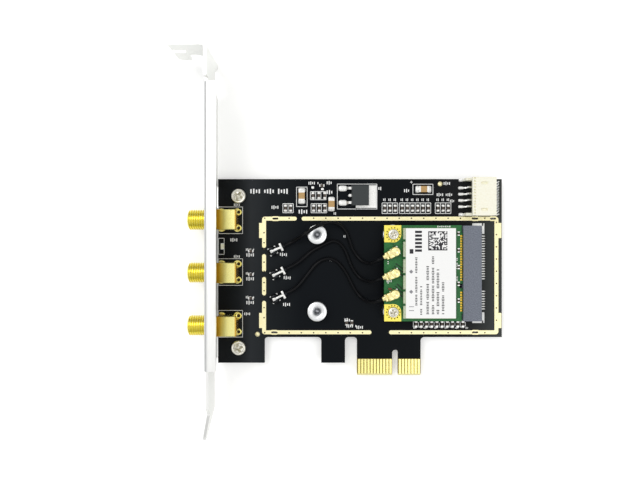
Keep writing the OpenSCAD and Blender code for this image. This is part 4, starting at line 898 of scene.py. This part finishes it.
# runs of chip parts: middle of the first, count, row, pitch and half height of their cells
topRuns = [(x, n, topRow, ink["cell"], 1.69) for x, n in ((-3.35, 3), (2.2, 6), (13.6, 3))]
sideRuns = [(-26, 3, topRow, 1.76, 1.45), (-35, 2, topRow, ink["cell"], 1.45),
            (-26.2, 3, highRow, 1.86, 1.3)]
lowRun = (6.6, 10, lowRow, ink["cell"], 0)
# rectangles: left, low, right, high and width
frames = [(-18.47, 53.05, -5.84, 61, ink["line"]), (-31.48, 53.81, -28.1, 60.03, ink["line"]),
          (5.65, 57.67, 12.03, 60.96, ink["line"]), (-56.36, 38.6, -54.55, 43.7, ink["fine"])]
# rows of strokes: x, y, length, size and a turn
strokeRows = [(-46, 58.7, 13.4, 1.7)]
for y in (40.1, 32.5, 24.9):
    strokeRows += [(-47.5, y, 3, 0.9), (-47.3, y - 1.7, 2.8, 1.3)]
strokeRows += [
    (-52.4, 43.2, 3.2, 1.2), (-39.3, 53.6, 3.6, 1.2), (-30.6, 52.2, 3.8, 1.5),
    (-19.5, 51.6, 1.4, 0.9), (-21.7, 58.4, 2.4, 1.4), (-21.7, 61.4, 2.4, 1.2),
    (-27.5, 61.3, 3.6, 1.1), (-24, 60.6, 1.6, 1), (-5.2, 59.6, 1.2, 1.1), (13.4, 57.6, 5.6, 1.1),
    (15.6, 61.2, 2.4, 1.1), (17.6, 55.6, 1.8, 1), (3, 58.9, 2.2, 1.2), (-36.6, 38.6, 3.4, 1.2, -4),
    (-35.4, 31.2, 3, 1.2, -4), (-35.6, 22.6, 3, 1.2), (-20.9, 36.9, 1.8, 1),
    (-16.4, 44.3, 1.2, 0.8), (-16, 17.6, 2.2, 1.3), (-15.4, 15.7, 3.6, 1.1), (-12.2, 15.3, 2.8, 1.1),
]
inkRows = []
for i in (1, 2, 3):
    low, high = boxOf(f"antenna_jack_{i}")
    y = (low[1] + high[1]) / 2
    inkRows += outline(-56.3, y - 4.3, -48.68, y + 4.2, ink["fine"])
    inkRows += strokes(-48, y + 3.1, 2.4, 1) if i == 1 else strokes(-51.3, y + 4.9, 2.7, 1)
for row in frames:
    inkRows += outline(*row)
for first, count, y, _, half in topRuns:
    inkRows += chipCells(first, count, y, half)
    for k in range(count):
        inkRows += strokes(first + k * ink["cell"] - 0.35, y + 2.7, 1.2, 0.9)
for first, count, y, _, half in sideRuns:
    inkRows += chipCells(first, count, y, half)
for k in range(11):
    inkRows += [(5.77 + k * ink["cell"], lowRow, 0.16, 1.9 - 0.5 * (k % 3), 0)]
    inkRows += strokes(5.9 + k * ink["cell"], lowRow - 1.15 + 0.35 * (k % 2), 1, 0.6)
# slanted hatching beside the header, a plus and two corner marks by the card's screws
headerLow, headerHigh = [c[1] for c in boxOf("header_housing")]
inkRows += [(32.7, y, 0.3, 1.05, -62 + 24 * (k % 2))
            for k, y in enumerate(np.arange(headerLow + 0.5, headerHigh - 0.3, 0.86))]
inkRows += [(5.14, 61.6, 0.8, 0.18, 0), (5.14, 61.6, 0.18, 0.8, 0)]
inkRows += [(26.35, 48.1, 3.5, 0.8, 0), (28.05, 46.8, 0.75, 3.4, 0)]
inkRows += [(26.35, 17.1, 3.5, 0.8, 0), (28.05, 18.4, 0.75, 3.4, 0)]
for row in strokeRows:
    inkRows += strokes(*row)
addPlates("whiteMarks", inkRows, ink["low"], ink["high"], "whiteInk")
dots = copies(turned([(0, ink["low"]), (0.76, ink["low"]), (0.76, 0.03), (0, 0.03)], 24),
              [(-43.92, 13.11, 0, 0), (14.32, 61.05, 0, 0)])
addPiece("alignDots", dots, "paleGold")
print(len(inkRows), "ink marks laid")

# holes drilled through the ground strips, as small discs with a sunk middle, painted dark for the shade
# inside the holes

via = dict(radius=0.24, top=0.075, low=0.05, pitch=3.9)
strip = dict(left=-42.45, right=32.9, half=0.625, topGap=(-32.4, -29), lowGap=(-8.6, -1),
             leftHoles=(45.5, 42.3, 40.2, 36.1, 33.2, 29.6, 27, 21.6, 18.4))
low, high = boxOf("shield_ground_strips")
left, right = strip["left"] + strip["half"], strip["right"] - strip["half"]
low, top = low[1] + strip["half"], high[1] - strip["half"]
spots = [(x, y) for y, (start, end) in ((top, strip["topGap"]), (low, strip["lowGap"]))
         for x in np.arange(left + 0.2, right + 0.1, via["pitch"]) if not start < x < end]
spots += [(right, y) for y in np.arange(low + 4, top - 1, via["pitch"])]
spots += [(left, y) for y in strip["leftHoles"]]
viaShape = turned([(0, via["low"]), (via["radius"], via["low"]), (via["radius"], via["top"]),
                   (via["radius"] * 0.5, via["top"] - 0.01), (0, via["top"] - 0.012)], 12)
addPiece("stripVias", copies(viaShape, [(x, y, 0, 0) for x, y in spots]), "holeShade")

# solder: mounds at every foot on the board, cones round the jacks' posts underneath

pinPitch, tailPitch, keyGap, boardUnder = 2, 0.8, 4, -1.62
chipEnds = [(x + k * pitch, y + s * 0.85, 0, 0)
            for x, n, y, pitch, _ in topRuns + [lowRun] + sideRuns for k in range(n) for s in (-1, 1)]
headerFeet = [(20.95, headerLow + 5.975 + (k - 1.5) * pinPitch, 0, 0) for k in range(4)]
socketLow, socketHigh = [c[1] for c in boxOf("card_socket_housing")]
tailLow = (socketLow + socketHigh) / 2 - (24 * tailPitch + keyGap) / 2
tails = list(np.arange(0, 8) * tailPitch) + list(9.6 + np.arange(0, 18) * tailPitch)
# half length, half width and height of each mound, and the places it stands
mounds = [
    ((0.5, 0.34, 0.3), chipEnds),
    ((0.95, 0.5, 0.42), headerFeet),
    ((0.85, 0.6, 0.5), [(21, headerLow + 0.45, 0, 0), (21, headerHigh - 0.45, 0, 0)]),
    ((0.95, 0.24, 0.36), [(27.8, tailLow + t, 0, 0) for t in tails]),
    ((0.6, 0.75, 0.35), [(20, socketLow + 0.6, 0, 0), (20, socketHigh - 0.6, 0, 0)]),
    ((1.45, 0.95, 0.5), [(-16.7, highRow + s * 2.29, 0, 0) for s in (-1, 1)]),
    ((0.5, 0.42, 0.3), [(-14.5, highRow, 0, 0)]),
    ((1.2, 0.75, 0.7), [(-29.8, boardTop - 5.4 + s * 1.85, 0, 0) for s in (-1, 1)]),
    ((1.1, 0.6, 0.6), [(-20.35, boardTop - 8 + s * 1.75, 0, 0) for s in (-1, 1)]),
    ((0.7, 1.15, 0.65), [(8.95 + s * 1.9, boardTop - 3.3, 0, 0) for s in (-1, 1)]),
    ((0.45, 0.4, 0.12), [(-26.3, 59.9, 0, 0), (-26.3, 57.9, 0, 0), (-23.2, 59.4, 0, 0)]),
]
pieces = [copies(mound(*size), places) for size, places in mounds]
pieces.insert(-1, roundBox((-12.6, boardTop - 9.2, 0), (-5.95, boardTop - 2, 0.09), 0.04))
addPiece("solderJoints", together(*pieces), "solder")
cone = underside(turned([(0, 0), (1.02, 0), (0.86, 0.12), (0.66, 0.4), (0.56, 0.72), (0, 0.72)], 20))
addPiece("postSolder", copies(cone, [(x, y, boardUnder, 0) for x, y, _, _ in jackPosts]), "solder")
print("solder laid")

# radio card: traces, ring of stitches round the screws, fence notches and small parts

card = boxOf("radio_card_board")
can = boxOf("radio_card_shield")
cardTop, cardMid = card[1][2], (card[0][1] + card[1][1]) / 2
stitching = dict(inset=2.8, apart=12.1, ring=2.1, count=14, radius=0.2)
traces = [(x + k * 0.5, y + k * 0.72, 4.8, 0.4, turn)
          for x, y, turn in ((1, 33.7, -36), (1.1, 27.2, -44)) for k in (-1, 0, 1)]
traces += [(card[0][0] + 3.7, cardMid + 8.2 - k * 0.6, 2.8, 0.22, -40) for k in range(2)]
addPlates("cardTraces", traces, cardTop - 0.01, cardTop + 0.02, "traceGreen")
holeX, ring = card[0][0] + stitching["inset"], stitching["ring"]
turns = np.arange(stitching["count"]) * 2 * np.pi / stitching["count"]
stitches = [(holeX + ring * math.cos(t), cardMid + s * stitching["apart"] + ring * math.sin(t), 0, 0)
            for s in (-1, 1) for t in turns]
# the stitches are small discs painted dark for the shade inside the via holes
stitch = turned([(0, cardTop + 0.05), (stitching["radius"], cardTop + 0.05),
                 (stitching["radius"], cardTop + 0.085), (0, cardTop + 0.07)], 10)
addPiece("padStitches", copies(stitch, stitches), "holeShade")
# painted shade: plates of a darker card green on the can's top at its notches
notches = [(can[0][0] + 0.32, y, 0.72, 0.75, 0) for y in (43.0, 37.6, 32.6, 27.6, 23.2)]
addPlates("fenceNotches", notches, can[1][2] - 0.05, can[1][2] + 0.02, "notchShade")
tinyPart = roundBox((-2.75, 27.65, cardTop), (-1.65, 28.25, cardTop + 0.4), 0.06)
addPiece("tinyPart", copies(tinyPart, [(0, 0, 0, 0)]), "partBrown", smooth=False)
pads = [(can[1][0] + 0.75, y, 0.5, 0.3, 0)
        for y in (37.4, 36.9, 35.9, 35.4, 34.9, 34.3, 31.6, 31, 30.5)]
pads += [(card[0][0] + 1.2, cardMid + d, 0.35, 0.3, 0) for d in (3.6, 3.0, -0.6, -2.4, -3.0)]
pads += [(card[0][0] + 0.9 + k * 0.62, cardMid - 2.4, 0.3, 0.7, 0) for k in range(3)]
pads += [(12.7 + k * 0.62, card[1][1] - 0.42, 0.36, 0.5 - 0.12 * (k % 2), 0) for k in range(7)]
addPlates("cardInk", pads, cardTop - 0.01, cardTop + 0.025, "whiteInk")

# label print: plain bars, a square of cells by formula, and columns of strokes

label = boxOf("radio_card_label")
printLow, printHigh = label[1][2] - 0.005, label[1][2] + 0.012
cells = dict(left=9.35, low=39.95, side=5.9, count=18)
column = dict(gap=0.5, thick=0.27)


def strokeColumn(left, right, low, high, phase):
    # short strokes across the column, one pitch apart, with a gap where the wave is low
    k = np.arange(int((high - low) / column["gap"]))
    k = k[np.sin(0.55 * k + phase) > -0.9]
    wide = (right - left) * (0.85 + 0.15 * np.cos(1.7 * k + phase))
    return [((left + right) / 2, low + (q + 0.5) * column["gap"], w, column["thick"], 0)
            for q, w in zip(k, wide)]


# a cell is dark where the fraction of a fast, tall sine is over 0.52, along the left and low
# sides, and at every second place along the other two
u, v = [g.ravel() for g in np.meshgrid(np.arange(cells["count"]), np.arange(cells["count"]))]
dark = (np.sin(12.9898 * u + 78.233 * v) * 43758.5453 % 1 > 0.52) | (u == 0) | (v == 0)
dark |= ((u == cells["count"] - 1) | (v == cells["count"] - 1)) & ((u + v) % 2 == 0)
one = cells["side"] / cells["count"]
square = [(cells["left"] + (a + 0.5) * one, cells["low"] + (b + 0.5) * one, one, one, 0)
          for a, b in zip(u[dark], v[dark])]
bold = [(6.35, y, 2.1, 0.72, 0) for y in (39.9, 41.05, 42.2, 43.35, 44.5, 45.65)]
bold += [(4.2, 39.65, 1.15, 1.4, 0)]
darkRows = square + bold
for left, right, low, high, phase in (
        (6.85, 7.5, 20, 29, 2.2), (5.3, 6.05, 22.9, 38.7, 0.8), (8.75, 9.61, 20.2, 35.6, 0.3),
        (10.4, 11.26, 20.2, 38.4, 1.1), (11.9, 12.76, 20.2, 34.6, 2.9), (13.5, 14.36, 20.2, 30.4, 4.1)):
    darkRows += strokeColumn(left, right, low, high, phase)
addPlates("labelDark", darkRows, printLow, printHigh, "darkInk")
greyRows = [(4.1, 33.4, 0.9, 0.9, 45), (4.1, 27.2, 0.9, 0.9, 45), (4.2, 22.6, 1.5, 0.22, 0),
            (4.2, 21.4, 1.5, 0.22, 0)]
addPlates("labelGrey", greyRows, printLow, printHigh, "greyInk")
print("card and label detailed")
